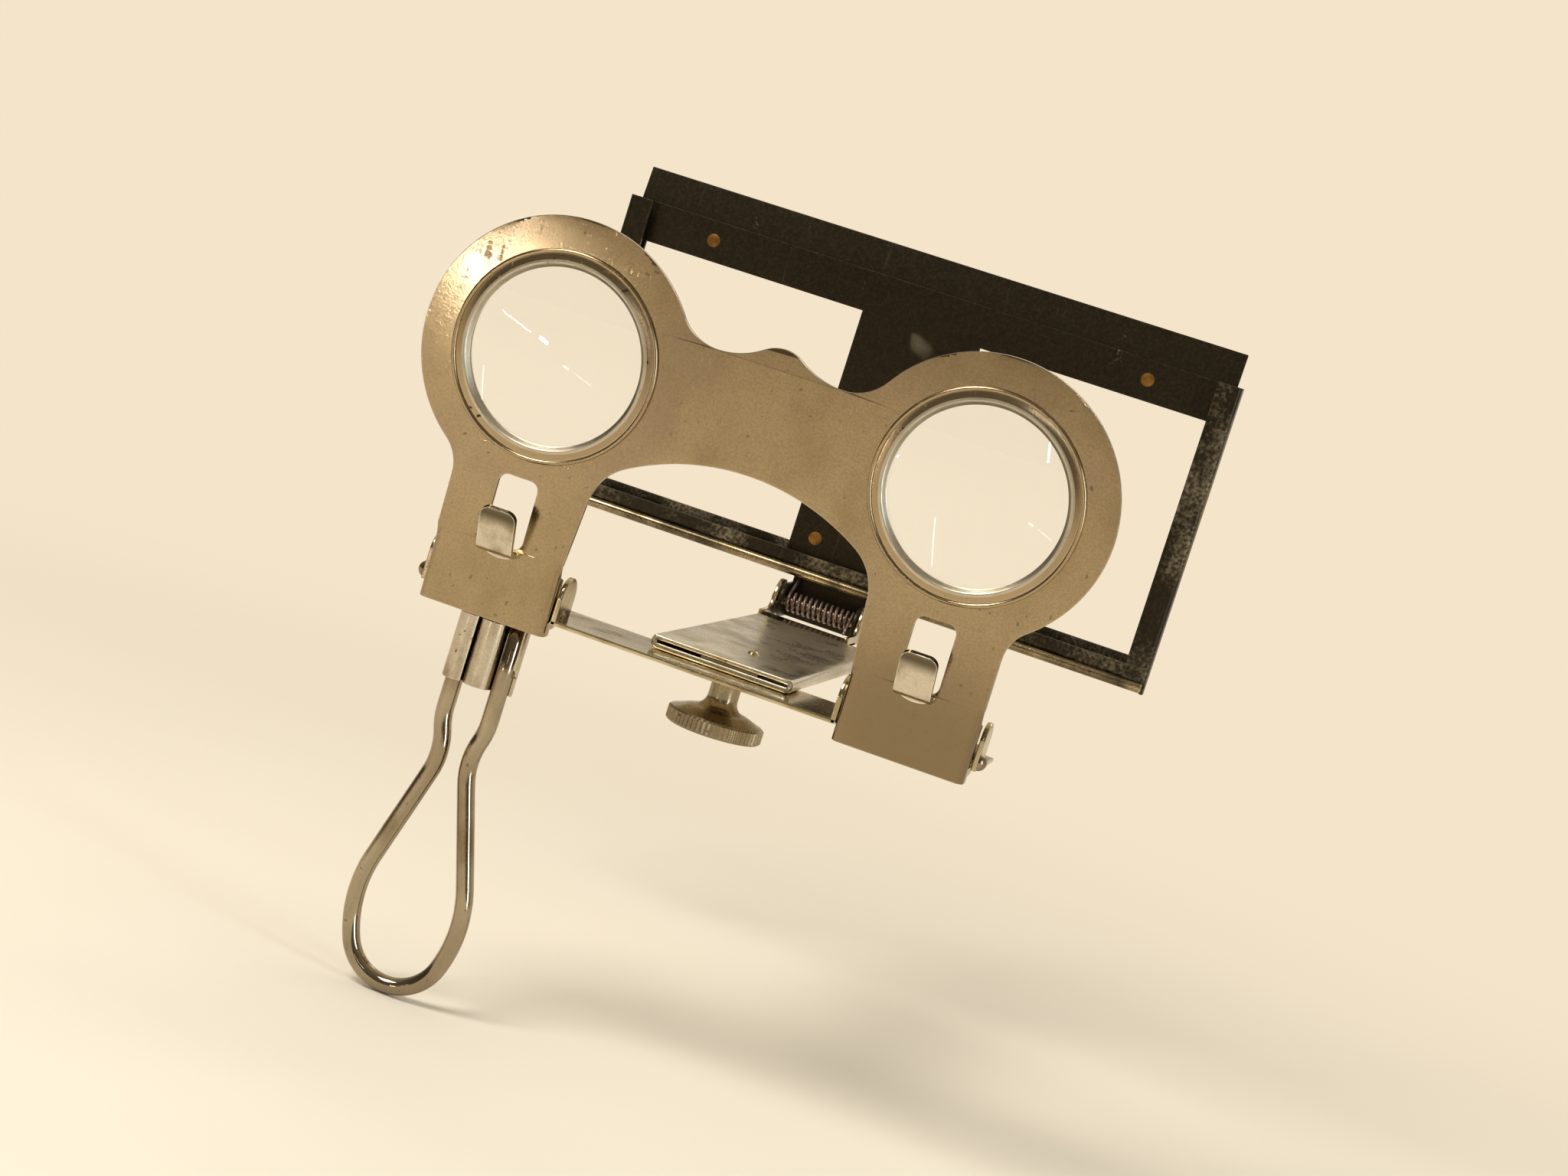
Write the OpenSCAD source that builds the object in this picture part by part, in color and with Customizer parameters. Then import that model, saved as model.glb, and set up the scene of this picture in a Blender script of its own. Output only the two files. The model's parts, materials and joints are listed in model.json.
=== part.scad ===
// Folding stereoscope for 45 x 107 mm stereo cards.
// X runs to the viewer's right, Y away from the viewer and Z up. The origin is the middle
// of the base strip's underside, right below the axis of the pins that the eye frame folds on.

/* [Eye frame] */
// Distance between the two lens centres
lens_gap = 65; // [61:0.5:69]
// Radius of the round lobe about each lens
lobe_r = 20.5; // [19:0.1:23]
// Thickness of the lens plate's sheet
plate_t = 0.8; // [0.6:0.05:1.1]
// Distance from the pins forward to the middle of the sheet
plate_set = 3.2; // [3:0.05:3.8]
// Lean of the eye frame towards the viewer, in degrees
lean = 4.3; // [0:0.1:8]
// Height of the lens centres above the pins
eye_h = 36.6; // [34:0.1:42]
// Length of the legs below the pins
leg_foot = 3.3; // [2.8:0.1:4.5]
// Distance from the middle out to a leg's inner edge
leg_in = 22.6; // [21.6:0.1:23.4]
// Width of a leg
leg_w = 20.2; // [19:0.1:22]
// How far a leg's inner edge comes in at the nose arch
leg_taper = 0.8; // [0:0.1:1.4]
// Radius between a lobe and the outer edge of its leg
leg_fillet_r = 6; // [4:0.5:9]
// Depth of the nose arch's top below the lens centres
nose_drop = 7.5; // [6:0.1:10]
// Radius of the nose arch's top
nose_r = 35; // [30:0.5:45]
// Radius of the nose arch's corners
nose_corner_r = 8; // [5:0.5:11]
// Distance from the middle out to each dip in the top edge
dip_x = 9.7; // [8.5:0.1:11]
// Height of the dips above the lens centres
dip_z = 8.45; // [6.5:0.05:9.5]
// Height of the middle bump above the dips
bump_h = 3; // [2:0.1:4]
// Radius of the middle bump
bump_r = 5.2; // [4:0.1:7]
// Width of the window in each leg
window_w = 6.2; // [4:0.1:8]
// Height of the window in each leg
window_h = 10.5; // [8:0.1:12]
// Depth of the window's top below the lens centres
window_drop = 18.4; // [17:0.1:20]
// Radius of the window's corners
window_r = 1.4; // [0.5:0.1:1.9]
// Width of the hook in each window
hook_w = 5.6; // [3.8:0.1:6]
// Straight length of a hook's raised part
hook_len = 6.1; // [4:0.1:8]
// Straight length of a hook's foot, out of the plate
hook_out = 1.55; // [0.8:0.05:2.5]
// Mean radius of a hook's bend
hook_bend_r = 2.2; // [1.2:0.1:3]
// Lean of a hook's raised part, away from the plate
hook_lean = 23.4; // [10:0.2:40]
// Radius of the lug round each leg pin
lug_r = 2.4; // [1.8:0.1:2.6]
// Height of a leg's side flange above the pins
flange_h = 8; // [5:0.5:14]
// Depth of a leg's side flange above its lug
flange_d = 1.8; // [1:0.1:2.2]

/* [Lenses] */
// Radius of a lens
lens_r = 14.4; // [13.6:0.1:15]
// Thickness of a lens at its edge
lens_edge = 1.5; // [1:0.1:2]
// Radius of a lens's two curved faces
lens_curve_r = 93.6; // [70:0.5:150]
// Outer radius of a bezel
bezel_r = 15.7; // [15.6:0.05:16.6]
// Width of the lip that holds a lens from the front
bezel_lip = 1.65; // [1.4:0.05:2]
// Width of the polished slope round each lens opening
funnel_w = 0.85; // [0.5:0.05:1]
// Height of a bezel's rim in front of the plate
bezel_h = 0.6; // [0.4:0.05:1]
// Depth of the lip, from the rim's front to the lens
bezel_throat = 1.3; // [1:0.05:1.8]
// Wall of the bezel's tube round the lens
bezel_wall = 0.45; // [0.3:0.05:0.6]
// Width of the ring behind a lens
ring_w = 1; // [0.6:0.1:1.6]
// Thickness of the ring behind a lens
ring_t = 0.7; // [0.4:0.1:1.1]

/* [Base] */
// Thickness of the base strip
strip_t = 0.7; // [0.5:0.05:0.9]
// Distance from the pins forward to the strip's front edge
strip_front = 2.6; // [2.2:0.1:2.6]
// Distance from the pins back to the front edge of the strip's arms
arm_front = 4.5; // [4:0.1:6]
// Distance from the pins back to the strip's rear edge
strip_back = 14.1; // [13.2:0.1:18]
// Height of the pins above the strip's underside
pin_h = 1.4; // [1.35:0.05:2]
// Diameter of the leg pins
pin_d = 1.2; // [0.8:0.05:1.3]
// Diameter of the pins' round heads
pin_head_d = 2.6; // [2:0.1:3.4]
// Height of the pins' round heads
pin_head_h = 1.1; // [0.6:0.1:1.3]
// Thickness of the four ears that hold the pins
ear_t = 0.8; // [0.6:0.05:1.2]
// Height of the ears above the strip's underside
ear_h = 7.2; // [6:0.1:9]
// Depth of the ears
ear_d = 6.6; // [5.8:0.1:7.2]
// Gap between an ear and the leg beside it
ear_gap = 0.15; // [0.1:0.01:0.2]
// Radial clearance of each turning fit
turn_gap = 0.05; // [0.02:0.005:0.08]

/* [Carriage] */
// Sideways place of the carriage's middle
car_x = 2.3; // [0:0.1:4]
// Width of the carriage sleeve
car_w = 22.6; // [20:0.1:26]
// Height of the carriage sleeve
car_h = 2.3; // [2.2:0.05:2.8]
// Wall of the carriage sleeve
car_wall = 0.6; // [0.4:0.05:0.65]
// Distance from the pins back to the sleeve's front end
car_front = 5; // [4:0.1:6]
// Length of the sleeve
car_len = 65; // [56:0.5:66]
// Gap between the sleeve and the base strip
slide_gap = 0.05; // [0.03:0.01:0.12]
// How far the carriage can be drawn towards the viewer
travel = 8.5; // [4:0.1:14]
// Radius of the stop stud's shank
stud_r = 0.6; // [0.4:0.05:0.9]
// Height of the stop stud's round head
stud_head_h = 0.5; // [0.3:0.05:0.8]

/* [Thumb screw] */
// Sideways place of the thumb screw
screw_x = 3.4; // [1:0.1:5]
// Distance from the pins back to the thumb screw
screw_y = 8; // [7.8:0.1:9]
// Outer radius of the knurled rim
rim_r = 7.35; // [6:0.05:9]
// Height of the knurled rim
rim_h = 2.3; // [1.5:0.1:3.5]
// Number of grooves round the knurled rim
knurls = 60; // [36:1:72]
// Depth of the grooves in the rim
knurl_d = 0.16; // [0.08:0.01:0.25]
// Distance from the strip's underside down to the screw's bottom
screw_drop = 8.5; // [7.5:0.1:11]
// Radius of the screw's waist
waist_r = 2.3; // [1.8:0.1:2.8]
// Radius of the screw's shoulder under the strip
shoulder_r = 3.3; // [2.9:0.1:4]
// Radius of the hollow curve from waist to rim
hollow_r = 2; // [1.5:0.1:2.2]
// Radius of the screw's shank
shank_r = 1.3; // [1:0.05:1.5]
// Thickness of the clamp plate in the sleeve
clamp_t = 0.6; // [0.4:0.05:0.6]
// Width of the clamp plate
clamp_w = 9; // [7:0.1:11]
// Length of the clamp plate
clamp_len = 5.2; // [4.4:0.1:5.2]

/* [Hinge] */
// Distance from the sleeve's far end back to the hinge axle
axle_gap = 13; // [12:0.5:20]
// Height of the hinge axle above the strip's underside
axle_z = 5; // [4.8:0.1:6]
// Sideways place of the hinge's middle
hinge_x = -1.1; // [-2:0.1:2]
// Radius of the hinge axle
axle_r = 0.85; // [0.6:0.05:1]
// Radius of the axle's heads
axle_head_r = 1.5; // [1.2:0.1:2.2]
// Height of the axle's heads
axle_head_h = 0.7; // [0.4:0.1:1.2]
// Distance between the bracket's two ears
bracket_gap = 14.6; // [13:0.1:16]
// Radius of the bracket's ears
bracket_r = 3.4; // [3:0.1:3.6]
// Thickness of the bracket's sheet
bracket_t = 0.6; // [0.4:0.05:0.65]
// Thickness of the bracket's ears
bracket_ear_t = 0.8; // [0.5:0.05:1.1]
// Width of the bracket's tail inside the sleeve
tail_w = 10.8; // [7:0.1:12]
// Length of the bracket's tail inside the sleeve
tail_len = 34; // [15:0.5:40]
// Gap between a frame lug and the bracket ear beside it
lug_gap = 0.3; // [0.1:0.05:0.4]
// Radius of the frame's lugs about the axle
frame_lug_r = 3; // [2.4:0.1:3.2]
// Wire diameter of the hinge spring
spring_wire = 0.5; // [0.3:0.05:0.55]
// Outer diameter of the hinge spring
spring_d = 3.6; // [3.2:0.1:4]
// Number of curls in the hinge spring
spring_curls = 12; // [6:1:12]

/* [Picture frame] */
// Width of the opening that takes a card
card_w = 109.2; // [108.4:0.1:112]
// Thickness of the frame's sheet
frame_t = 0.6; // [0.5:0.05:0.7]
// Depth of the slot that a card stands in
card_slot = 2.05; // [1.6:0.05:2.2]
// Distance from the hinge axle back to the front of the picture plate
picture_gap = 3.4; // [3.2:0.1:4.2]
// Height of the card slot's floor above the strip's underside
floor_z = 11.5; // [11:0.1:14]
// Height from the slot's floor to the rail's top edge
rail_top = 51.4; // [50.4:0.1:56]
// Height of the top rail
rail_h = 7; // [5:0.1:9]
// Width of the stem between the two views
stem_w = 21.4; // [18:0.1:24]
// Cover of the channels' lips over a card's sides
lip_w = 3.55; // [2.5:0.05:5]
// Cover of the bottom channel's lip over a card's lower edge
bottom_lip_h = 1.9; // [1.4:0.1:3]
// Height of the bottom channel's rear leg above the slot's floor
back_leg_h = 3.1; // [2:0.1:4]
// Radius of the rolled bead below the bottom channel
bead_r = 0.9; // [0.7:0.05:1]
// How far the side channels reach below the slot's floor
channel_tail = 2.4; // [1.5:0.1:3]
// Height of the guide lip's flat part, behind the rail
guide_flat_h = 5.9; // [4:0.1:6.4]
// Height of the guide lip above the rail
guide_rise = 5.6; // [3:0.1:8]
// Backward slope of the guide lip, in degrees
guide_slope = 8; // [0:1:20]
// Height of the hinge tongue above the slot's floor
tongue_rise = 11.1; // [8:0.1:16]
// Radius of the copper rivets in the frame
rivet_r = 1.15; // [0.8:0.05:1.5]
// Height of the rivets' tails behind the sheet
rivet_tail = 0.4; // [0.2:0.05:0.6]
// Distance from the middle out to the rail's rivets
rail_rivet_x = 39.4; // [25:0.1:48]
// Height of the stem's rivets above the slot's floor
stem_rivet_rise = 4.8; // [3:0.1:7]
// Distance between the stem's two rivets
stem_rivet_gap = 10.8; // [6:0.1:11]

/* [Handle] */
// Sideways place of the handle's middle, in the left leg
handle_x = -31; // [-32.5:0.1:-30]
// Diameter of the handle's wire
wire_d = 2.7; // [2.2:0.05:2.9]
// Distance between the wires at the top of the handle
grip_top_gap = 7.2; // [6.8:0.1:7.8]
// Distance between the wires at the handle's neck
neck_gap = 5; // [4:0.1:5.6]
// Greatest distance between the wires
grip_w = 16.8; // [15:0.1:19]
// Radius of the two bends at the neck
neck_r = 11.3; // [9:0.1:14]
// Slope of the wires below the neck, in degrees
flare = 17; // [13:0.5:22]
// Radius of the handle's sides
side_r = 20; // [16:0.5:26]
// Radius of the handle's bottom
bottom_r = 7.6; // [6.8:0.1:8.2]
// Distance from the strip's underside down to the neck
neck_drop = 23.9; // [22:0.1:30]
// Distance from the strip's underside down to the wires' top ends
wire_top_drop = 2.4; // [1.6:0.1:3.2]
// Thickness of the strap that holds the wires
strap_t = 0.6; // [0.4:0.05:0.7]
// Height of the strap round the wires
strap_h = 10.2; // [7:0.1:11]
// Width of the barrel round the left leg pin
barrel_w = 11; // [8:0.1:12]
// Space beside the barrel in the strip's notch
notch_gap = 0.6; // [0.3:0.1:1]

/* [Hidden] */
$fn = 64;

// Finish colours
nickel = [0.62, 0.58, 0.50];
bright = [0.80, 0.78, 0.74];
black = [0.08, 0.08, 0.08];
copper = [0.72, 0.42, 0.24];
rusty = [0.45, 0.33, 0.28];
clear = [0.85, 0.92, 0.95, 0.5];
cut = 0.1; // overrun of a cut past the face it opens
round_fn = 96;

// Eye frame, in its own upright axes with the pin axis at the origin
lens_x = lens_gap / 2;
leg_out = leg_in + leg_w;
leg_bottom = -leg_foot - eye_h;
plate_front = -plate_set - plate_t / 2;
plate_back = -plate_set + plate_t / 2;
straight_h = ear_h - pin_h + 2.2 - eye_h; // below this the leg's inner edge runs straight
dip_out_r = (pow(lens_x - dip_x, 2) + pow(dip_z, 2) - pow(lobe_r, 2)) / (2 * (lobe_r - dip_z));
dip_in_r = (pow(dip_x, 2) + pow(bump_h, 2)) / (2 * bump_h) - bump_r;
dip_out_c = [dip_x, dip_z + dip_out_r];
dip_in_c = [dip_x, dip_z + dip_in_r];
bump_c = [0, dip_z + bump_h - bump_r];
lobe_c = [lens_x, 0];
fillet_x = leg_out + leg_fillet_r;
fillet_c = [fillet_x, -sqrt(pow(lobe_r + leg_fillet_r, 2) - pow(fillet_x - lens_x, 2))];
nose_c = [0, -nose_drop - nose_r];
corner_x = leg_in - leg_taper - nose_corner_r;
corner_c = [corner_x, nose_c.y + sqrt(pow(nose_r - nose_corner_r, 2) - pow(corner_x, 2))];
window_bottom = -window_drop - window_h;

// Lenses, along Y in the eye frame's axes
seat_r = lens_r + bezel_wall;
open_r = lens_r - bezel_lip;
rim_y = plate_front - bezel_h;
seat_y = rim_y + bezel_throat;
lens_front_y = seat_y + sag(lens_r) - sag(open_r) + 0.02;
lens_back_y = lens_front_y + lens_edge;
ring_y = lens_back_y + sag(lens_r) - sag(lens_r - ring_w) + 0.02;

// Base
pin_r = pin_d / 2;
inner_ear_x = leg_in - ear_gap;
outer_ear_x = leg_out + ear_gap;
ear_back = ear_d - strip_front;
notch_w = barrel_w + 2 * notch_gap + 1.2;
notch_back = strip_back - 3.1;

// Carriage and screw
car_z = strip_t + slide_gap;
car_top = car_z + car_h;
car_back = car_front + car_len;
sleeve_floor = car_z + car_wall;
sleeve_roof = car_top - car_wall;
slot_r = shank_r + 0.1;
clamp_z = sleeve_floor + slide_gap;
stud_y = screw_y + travel + clamp_len / 2 + stud_r + 0.3;
neck_z = -screw_drop + rim_h;

// Hinge
axle_y = car_back + axle_gap;
bracket_in = bracket_gap / 2;
bracket_out = bracket_in + bracket_ear_t;
bracket_back = axle_y - bracket_r - 0.2;
tongue_half = bracket_in - lug_gap;
lug_in = tongue_half - frame_t;
coil_r = (spring_d - spring_wire) / 2;
coil_len = 2 * lug_in - frame_t - spring_wire;
coil_pitch = coil_len / spring_curls;
rise_angle = 120;
drop_angle = 135;

// Picture frame
picture_y = axle_y + picture_gap;
slot_front = picture_y - card_slot;
front_y = slot_front - frame_t;
back_y = picture_y + frame_t;
rear_y = back_y + frame_t;
wall_x = card_w / 2;
lip_x = wall_x - lip_w;
rail_z = floor_z + rail_top;
rail_low = rail_z - rail_h;
guide_low = rail_z - guide_flat_h;
bead_z = floor_z - frame_t - bead_r + 0.2;
rail_rivet_z = rail_low + rail_h / 2 + 0.1;
stem_rivet_z = floor_z + stem_rivet_rise;
tongue_top = floor_z + tongue_rise;

// Handle, as distances from its own middle line
wire_r = wire_d / 2;
top_half = grip_top_gap / 2;
neck_half = neck_gap / 2;
bend_in_c = [top_half - neck_r, 0];
bend_out_c = [neck_half + neck_r, -neck_drop];
bend_drop = sqrt(pow(2 * neck_r, 2) - pow(bend_out_c.x - bend_in_c.x, 2));
bend_top = -neck_drop + bend_drop;
bend_angle = atan2(bend_drop, bend_out_c.x - bend_in_c.x);
flare_start = [bend_out_c.x - neck_r * cos(flare), -neck_drop - neck_r * sin(flare)];
side_c_x = grip_w / 2 - side_r;
side_start_x = side_c_x + side_r * cos(flare);
side_start = [side_start_x, flare_start.y - (side_start_x - flare_start.x) / tan(flare)];
side_c = [side_c_x, side_start.y - side_r * sin(flare)];
bottom_drop = sqrt(pow(side_r - bottom_r, 2) - pow(side_c_x, 2));
bottom_c = [0, side_c.y - bottom_drop];
side_angle = atan2(bottom_drop, -side_c_x);
strap_r = wire_r + strap_t;
strap_low = -wire_top_drop - strap_h;
barrel_r = pin_r + turn_gap + 0.95;

// Depth of a lens face's curve at the radius r
function sag(r) = lens_curve_r - sqrt(pow(lens_curve_r, 2) - r * r);

// Points of an arc from angle a to angle b, without its first point
function arc(c, r, a, b, n = 12) = [for (i = [1:n]) c + r * turned(a + (b - a) * i / n)];

function turned(a) = [cos(a), sin(a)];

// Angle of the line from point p to point q
function aim(p, q) = atan2(q.y - p.y, q.x - p.x);

function flipped(points) = [for (i = [len(points) - 1:-1:0]) [-points[i].x, points[i].y]];

function unit(v) = v / norm(v);

// Right half of the lens plate's outline, from the middle of its top edge round to the arch
function half_plate() = concat(
    arc(bump_c, bump_r, 90, aim(bump_c, dip_in_c), 5),
    arc(dip_in_c, dip_in_r, aim(dip_in_c, bump_c) + 360, 270, 8),
    arc(dip_out_c, dip_out_r, 270, 360 + aim(dip_out_c, lobe_c), 8),
    arc(lobe_c, lobe_r, aim(lobe_c, dip_out_c), aim(lobe_c, fillet_c), 48),
    arc(fillet_c, leg_fillet_r, aim(fillet_c, lobe_c), 180, 8),
    [[leg_out, leg_bottom], [leg_in, leg_bottom], [leg_in, straight_h]],
    [[leg_in - leg_taper, corner_c.y]],
    arc(corner_c, nose_corner_r, 0, aim(nose_c, corner_c), 10),
    arc(nose_c, nose_r, aim(nose_c, corner_c), 90, 12));

// A flat sheet that stands up: the drawing's y becomes height, and its rear face is at y_back
module stand(y_back, t) {
    translate([0, y_back, 0])
        rotate([90, 0, 0])
            linear_extrude(t)
                children();
}

// A side profile drawn as (y, z), drawn out along X from x_low
module side(x_low, t) {
    translate([x_low, 0, 0])
        rotate([90, 0, 90])
            linear_extrude(t)
                children();
}

module both_sides() {
    children();
    mirror([1, 0, 0])
        children();
}

// Turned about an axis along Y: the drawing is (radius, y)
module turned_y() {
    rotate([-90, 0, 0])
        rotate_extrude($fn = round_fn)
            children();
}

// A round bar along X
module bar_x(x_low, x_high, r) {
    translate([x_low, 0, 0])
        rotate([0, 90, 0])
            cylinder(h = x_high - x_low, r = r);
}

module box(low, high) {
    translate(low)
        cube(high - low);
}

module rect(low, high) {
    translate(low)
        square(high - low);
}

module rounded_rect(low, high, r) {
    rect([low.x + r, low.y], [high.x - r, high.y]);
    rect([low.x, low.y + r], [high.x, high.y - r]);
    for (x = [low.x + r, high.x - r], y = [low.y + r, high.y - r])
        translate([x, y])
            circle(r);
}

// A domed head that stands on the plane z = 0
module dome(r, h) {
    sphere_r = (r * r + h * h) / (2 * h);
    intersection() {
        translate([0, 0, h - sphere_r])
            sphere(sphere_r);
        cylinder(h = h, r = r);
    }
}

module in_eye_frame() {
    translate([0, 0, pin_h])
        rotate([lean, 0, 0])
            children();
}

// A leg's side flange, with the lug that turns on its pin
module leg_flange(x_low) {
    side(x_low, plate_t)
        difference() {
            union() {
                circle(lug_r);
                rect([plate_back - cut, -lug_r], [0, lug_r]);
                rect([plate_back - cut, 0], [plate_back + flange_d, flange_h]);
            }
            circle(pin_r + turn_gap);
        }
}

// Side profile of a hook: its foot, out of the plate, then its bend and its raised part
function hook_profile() =
    let(foot_z = -plate_t / 2 - 0.3,
        c = [-hook_out, foot_z + hook_bend_r],
        top = hook_len * [-sin(hook_lean), cos(hook_lean)],
        last = 180 + hook_lean,
        outer = arc(c, hook_bend_r + plate_t / 2, 270, last, 6),
        inner = arc(c, hook_bend_r - plate_t / 2, last, 270, 6))
    concat([[plate_t / 2, foot_z - plate_t / 2], [-hook_out, foot_z - plate_t / 2]], outer,
        [outer[5] + top, c + (hook_bend_r - plate_t / 2) * turned(last) + top,
            c + (hook_bend_r - plate_t / 2) * turned(last)], inner,
        [[plate_t / 2, foot_z + plate_t / 2]]);

// A hook that is bent forward out of the lower edge of a window, with a rounded top
module hook() {
    reach = 20;
    translate([-hook_w / 2, -plate_set, 0])
        intersection() {
            side(-cut, hook_w + 2 * cut)
                polygon(hook_profile());
            translate([0, -hook_out, -plate_t / 2 - 0.3 + hook_bend_r])
                rotate([hook_lean, 0, 0])
                    stand(reach, 2 * reach)
                        rounded_rect([0, -reach], [hook_w, hook_len], 1.5);
        }
}

module lens_plate() {
    color(nickel)
        in_eye_frame() {
            translate([0, 0, eye_h])
                stand(plate_back, plate_t)
                    difference() {
                        polygon(concat(half_plate(), [for (p = flipped(half_plate()))
                            if (p.x < -0.001) p]));
                        for (x = [-lens_x, lens_x]) {
                            translate([x, 0])
                                circle(seat_r, $fn = round_fn);
                            rounded_rect([x - window_w / 2, window_bottom],
                                [x + window_w / 2, -window_drop], window_r);
                        }
                    }
            both_sides() {
                leg_flange(leg_in);
                leg_flange(leg_out - plate_t);
                translate([lens_x, 0, eye_h + window_bottom])
                    hook();
            }
        }
}

module bezel(x) {
    color(nickel)
        in_eye_frame()
            translate([x, 0, eye_h])
                turned_y() {
                    polygon([[open_r, seat_y], [open_r, seat_y - bezel_wall],
                        [open_r + funnel_w, rim_y], [bezel_r - 0.9, rim_y],
                        [bezel_r - 0.9, plate_front - bezel_h / 2],
                        [seat_r, plate_front - bezel_h / 2], [seat_r, seat_y]]);
                    rect([lens_r, seat_y - cut], [seat_r, ring_y + ring_t + 0.2]);
                    rect([seat_r - cut, plate_front - bezel_h / 2], [bezel_r, plate_front]);
                    translate([bezel_r - bezel_h / 2, plate_front - bezel_h / 2])
                        circle(bezel_h / 2);
                }
}

module lens(x) {
    color(clear)
        in_eye_frame()
            translate([x, 0, eye_h])
                rotate([-90, 0, 0])
                    intersection() {
                        translate([0, 0, lens_front_y - sag(lens_r) + lens_curve_r])
                            sphere(lens_curve_r, $fn = 200);
                        translate([0, 0, lens_back_y + sag(lens_r) - lens_curve_r])
                            sphere(lens_curve_r, $fn = 200);
                        translate([0, 0, lens_front_y - sag(lens_r) - 1])
                            cylinder(h = lens_edge + 2 * sag(lens_r) + 2, r = lens_r, $fn = round_fn);
                    }
}

module lens_ring(x) {
    color(nickel)
        in_eye_frame()
            translate([x, 0, eye_h])
                turned_y()
                    rect([lens_r - ring_w, ring_y], [lens_r, ring_y + ring_t]);
}

// An ear that stands on the strip and holds a pin
module ear(x_low) {
    top_r = ear_d / 2;
    side(x_low, ear_t)
        difference() {
            union() {
                rect([-strip_front, 0], [ear_back, ear_h - top_r]);
                translate([ear_back - top_r, ear_h - top_r])
                    circle(top_r);
            }
            translate([0, pin_h])
                circle(pin_r);
        }
}

module base_strip() {
    notch_x = handle_x - notch_w / 2;
    color(bright) {
        difference() {
            linear_extrude(strip_t)
                difference() {
                    union() {
                        rect([-inner_ear_x, -strip_front], [inner_ear_x, strip_back]);
                        rect([-outer_ear_x - ear_t, arm_front], [outer_ear_x + ear_t, strip_back]);
                    }
                    rect([notch_x, arm_front - cut], [notch_x + notch_w, notch_back]);
                    translate([screw_x, screw_y])
                        circle(shank_r + turn_gap);
                }
            both_sides()
                box([inner_ear_x, -strip_front - cut, -cut],
                    [outer_ear_x, arm_front, strip_t + cut]);
        }
        both_sides() {
            ear(inner_ear_x - ear_t);
            ear(outer_ear_x);
            side(outer_ear_x, ear_t)
                rect([ear_back - ear_t, 0], [arm_front + 4, 2 * strip_t]);
        }
    }
}

module leg_pins() {
    inner_end = inner_ear_x - ear_t;
    outer_end = outer_ear_x + ear_t;
    color(bright)
        both_sides()
            translate([0, 0, pin_h]) {
                bar_x(inner_end, outer_end, pin_r);
                translate([outer_end, 0, 0])
                    rotate([0, 90, 0])
                        dome(pin_head_d / 2, pin_head_h);
                translate([inner_end, 0, 0])
                    rotate([0, -90, 0])
                        dome(pin_r + 0.3, 0.4);
            }
}

module stadium(w, h) {
    translate([-(w - h) / 2, -h / 2])
        square([w - h, h]);
    for (s = [-1, 1])
        translate([s * (w - h) / 2, 0])
            circle(h / 2);
}

module carriage() {
    color(bright)
        difference() {
            translate([car_x, 0, car_z + car_h / 2])
                stand(car_back, car_len)
                    difference() {
                        stadium(car_w, car_h);
                        stadium(car_w - 2 * car_wall, car_h - 2 * car_wall);
                    }
            for (y = [screw_y, screw_y + travel])
                translate([screw_x, y, car_z - cut])
                    cylinder(h = car_wall + 2 * cut, r = slot_r);
            box([screw_x - slot_r, screw_y, car_z - cut],
                [screw_x + slot_r, screw_y + travel, sleeve_floor + cut]);
            translate([screw_x, stud_y, sleeve_roof - cut])
                cylinder(h = car_wall + 2 * cut, r = stud_r);
        }
}

module stop_stud() {
    tail = 0.8;
    color(bright)
        translate([screw_x, stud_y, 0]) {
            translate([0, 0, sleeve_roof - tail])
                cylinder(h = tail + car_wall, r = stud_r);
            translate([0, 0, car_top])
                dome(stud_r + 0.4, stud_head_h);
        }
}

module thumb_screw() {
    hollow_c = [waist_r + hollow_r, neck_z + 1 + hollow_r];
    flare_r = shoulder_r - waist_r;
    color(nickel)
        translate([screw_x, screw_y, 0]) {
            translate([0, 0, -screw_drop])
                linear_extrude(rim_h)
                    polygon([for (i = [0:2 * knurls - 1])
                        (rim_r - (i % 2) * knurl_d) * turned(180 * i / knurls)]);
            rotate_extrude($fn = round_fn)
                polygon(concat(
                    [[0, neck_z - cut], [rim_r - 0.3, neck_z - cut], [rim_r - 0.3, neck_z]],
                    [[hollow_c.x, hollow_c.y - hollow_r]],
                    arc(hollow_c, hollow_r, 270, 180, 8),
                    [[waist_r, -slide_gap - flare_r - 0.3]],
                    arc([shoulder_r, -slide_gap - flare_r - 0.3], flare_r, 180, 90, 6),
                    [[shoulder_r, -slide_gap], [0, -slide_gap]]));
            translate([0, 0, -slide_gap - cut])
                cylinder(h = clamp_z + clamp_t + slide_gap + 2 * cut, r = shank_r);
        }
}

module clamp_plate() {
    color(nickel)
        difference() {
            box([screw_x - clamp_w / 2, screw_y - clamp_len / 2, clamp_z],
                [screw_x + clamp_w / 2, screw_y + clamp_len / 2, clamp_z + clamp_t]);
            translate([screw_x, screw_y, clamp_z - cut])
                cylinder(h = clamp_t + 2 * cut, r = shank_r + turn_gap);
        }
}

module hinge_bracket() {
    plate_low = sleeve_roof - bracket_t;
    foot_y = car_back + 2.5;
    color(bright) {
        box([hinge_x - tail_w / 2, car_back - tail_len, plate_low],
            [hinge_x + tail_w / 2, bracket_back, sleeve_roof]);
        box([hinge_x - bracket_out, car_back + 0.3, plate_low],
            [hinge_x + bracket_out, bracket_back, sleeve_roof]);
        translate([hinge_x, 0, 0])
            both_sides()
                side(bracket_in, bracket_ear_t)
                    difference() {
                        union() {
                            translate([axle_y, axle_z])
                                circle(bracket_r);
                            rect([axle_y - bracket_r, plate_low], [axle_y, axle_z]);
                            rect([foot_y, plate_low], [axle_y, sleeve_roof + 1]);
                        }
                        translate([axle_y, axle_z])
                            circle(axle_r);
                    }
    }
}

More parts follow.
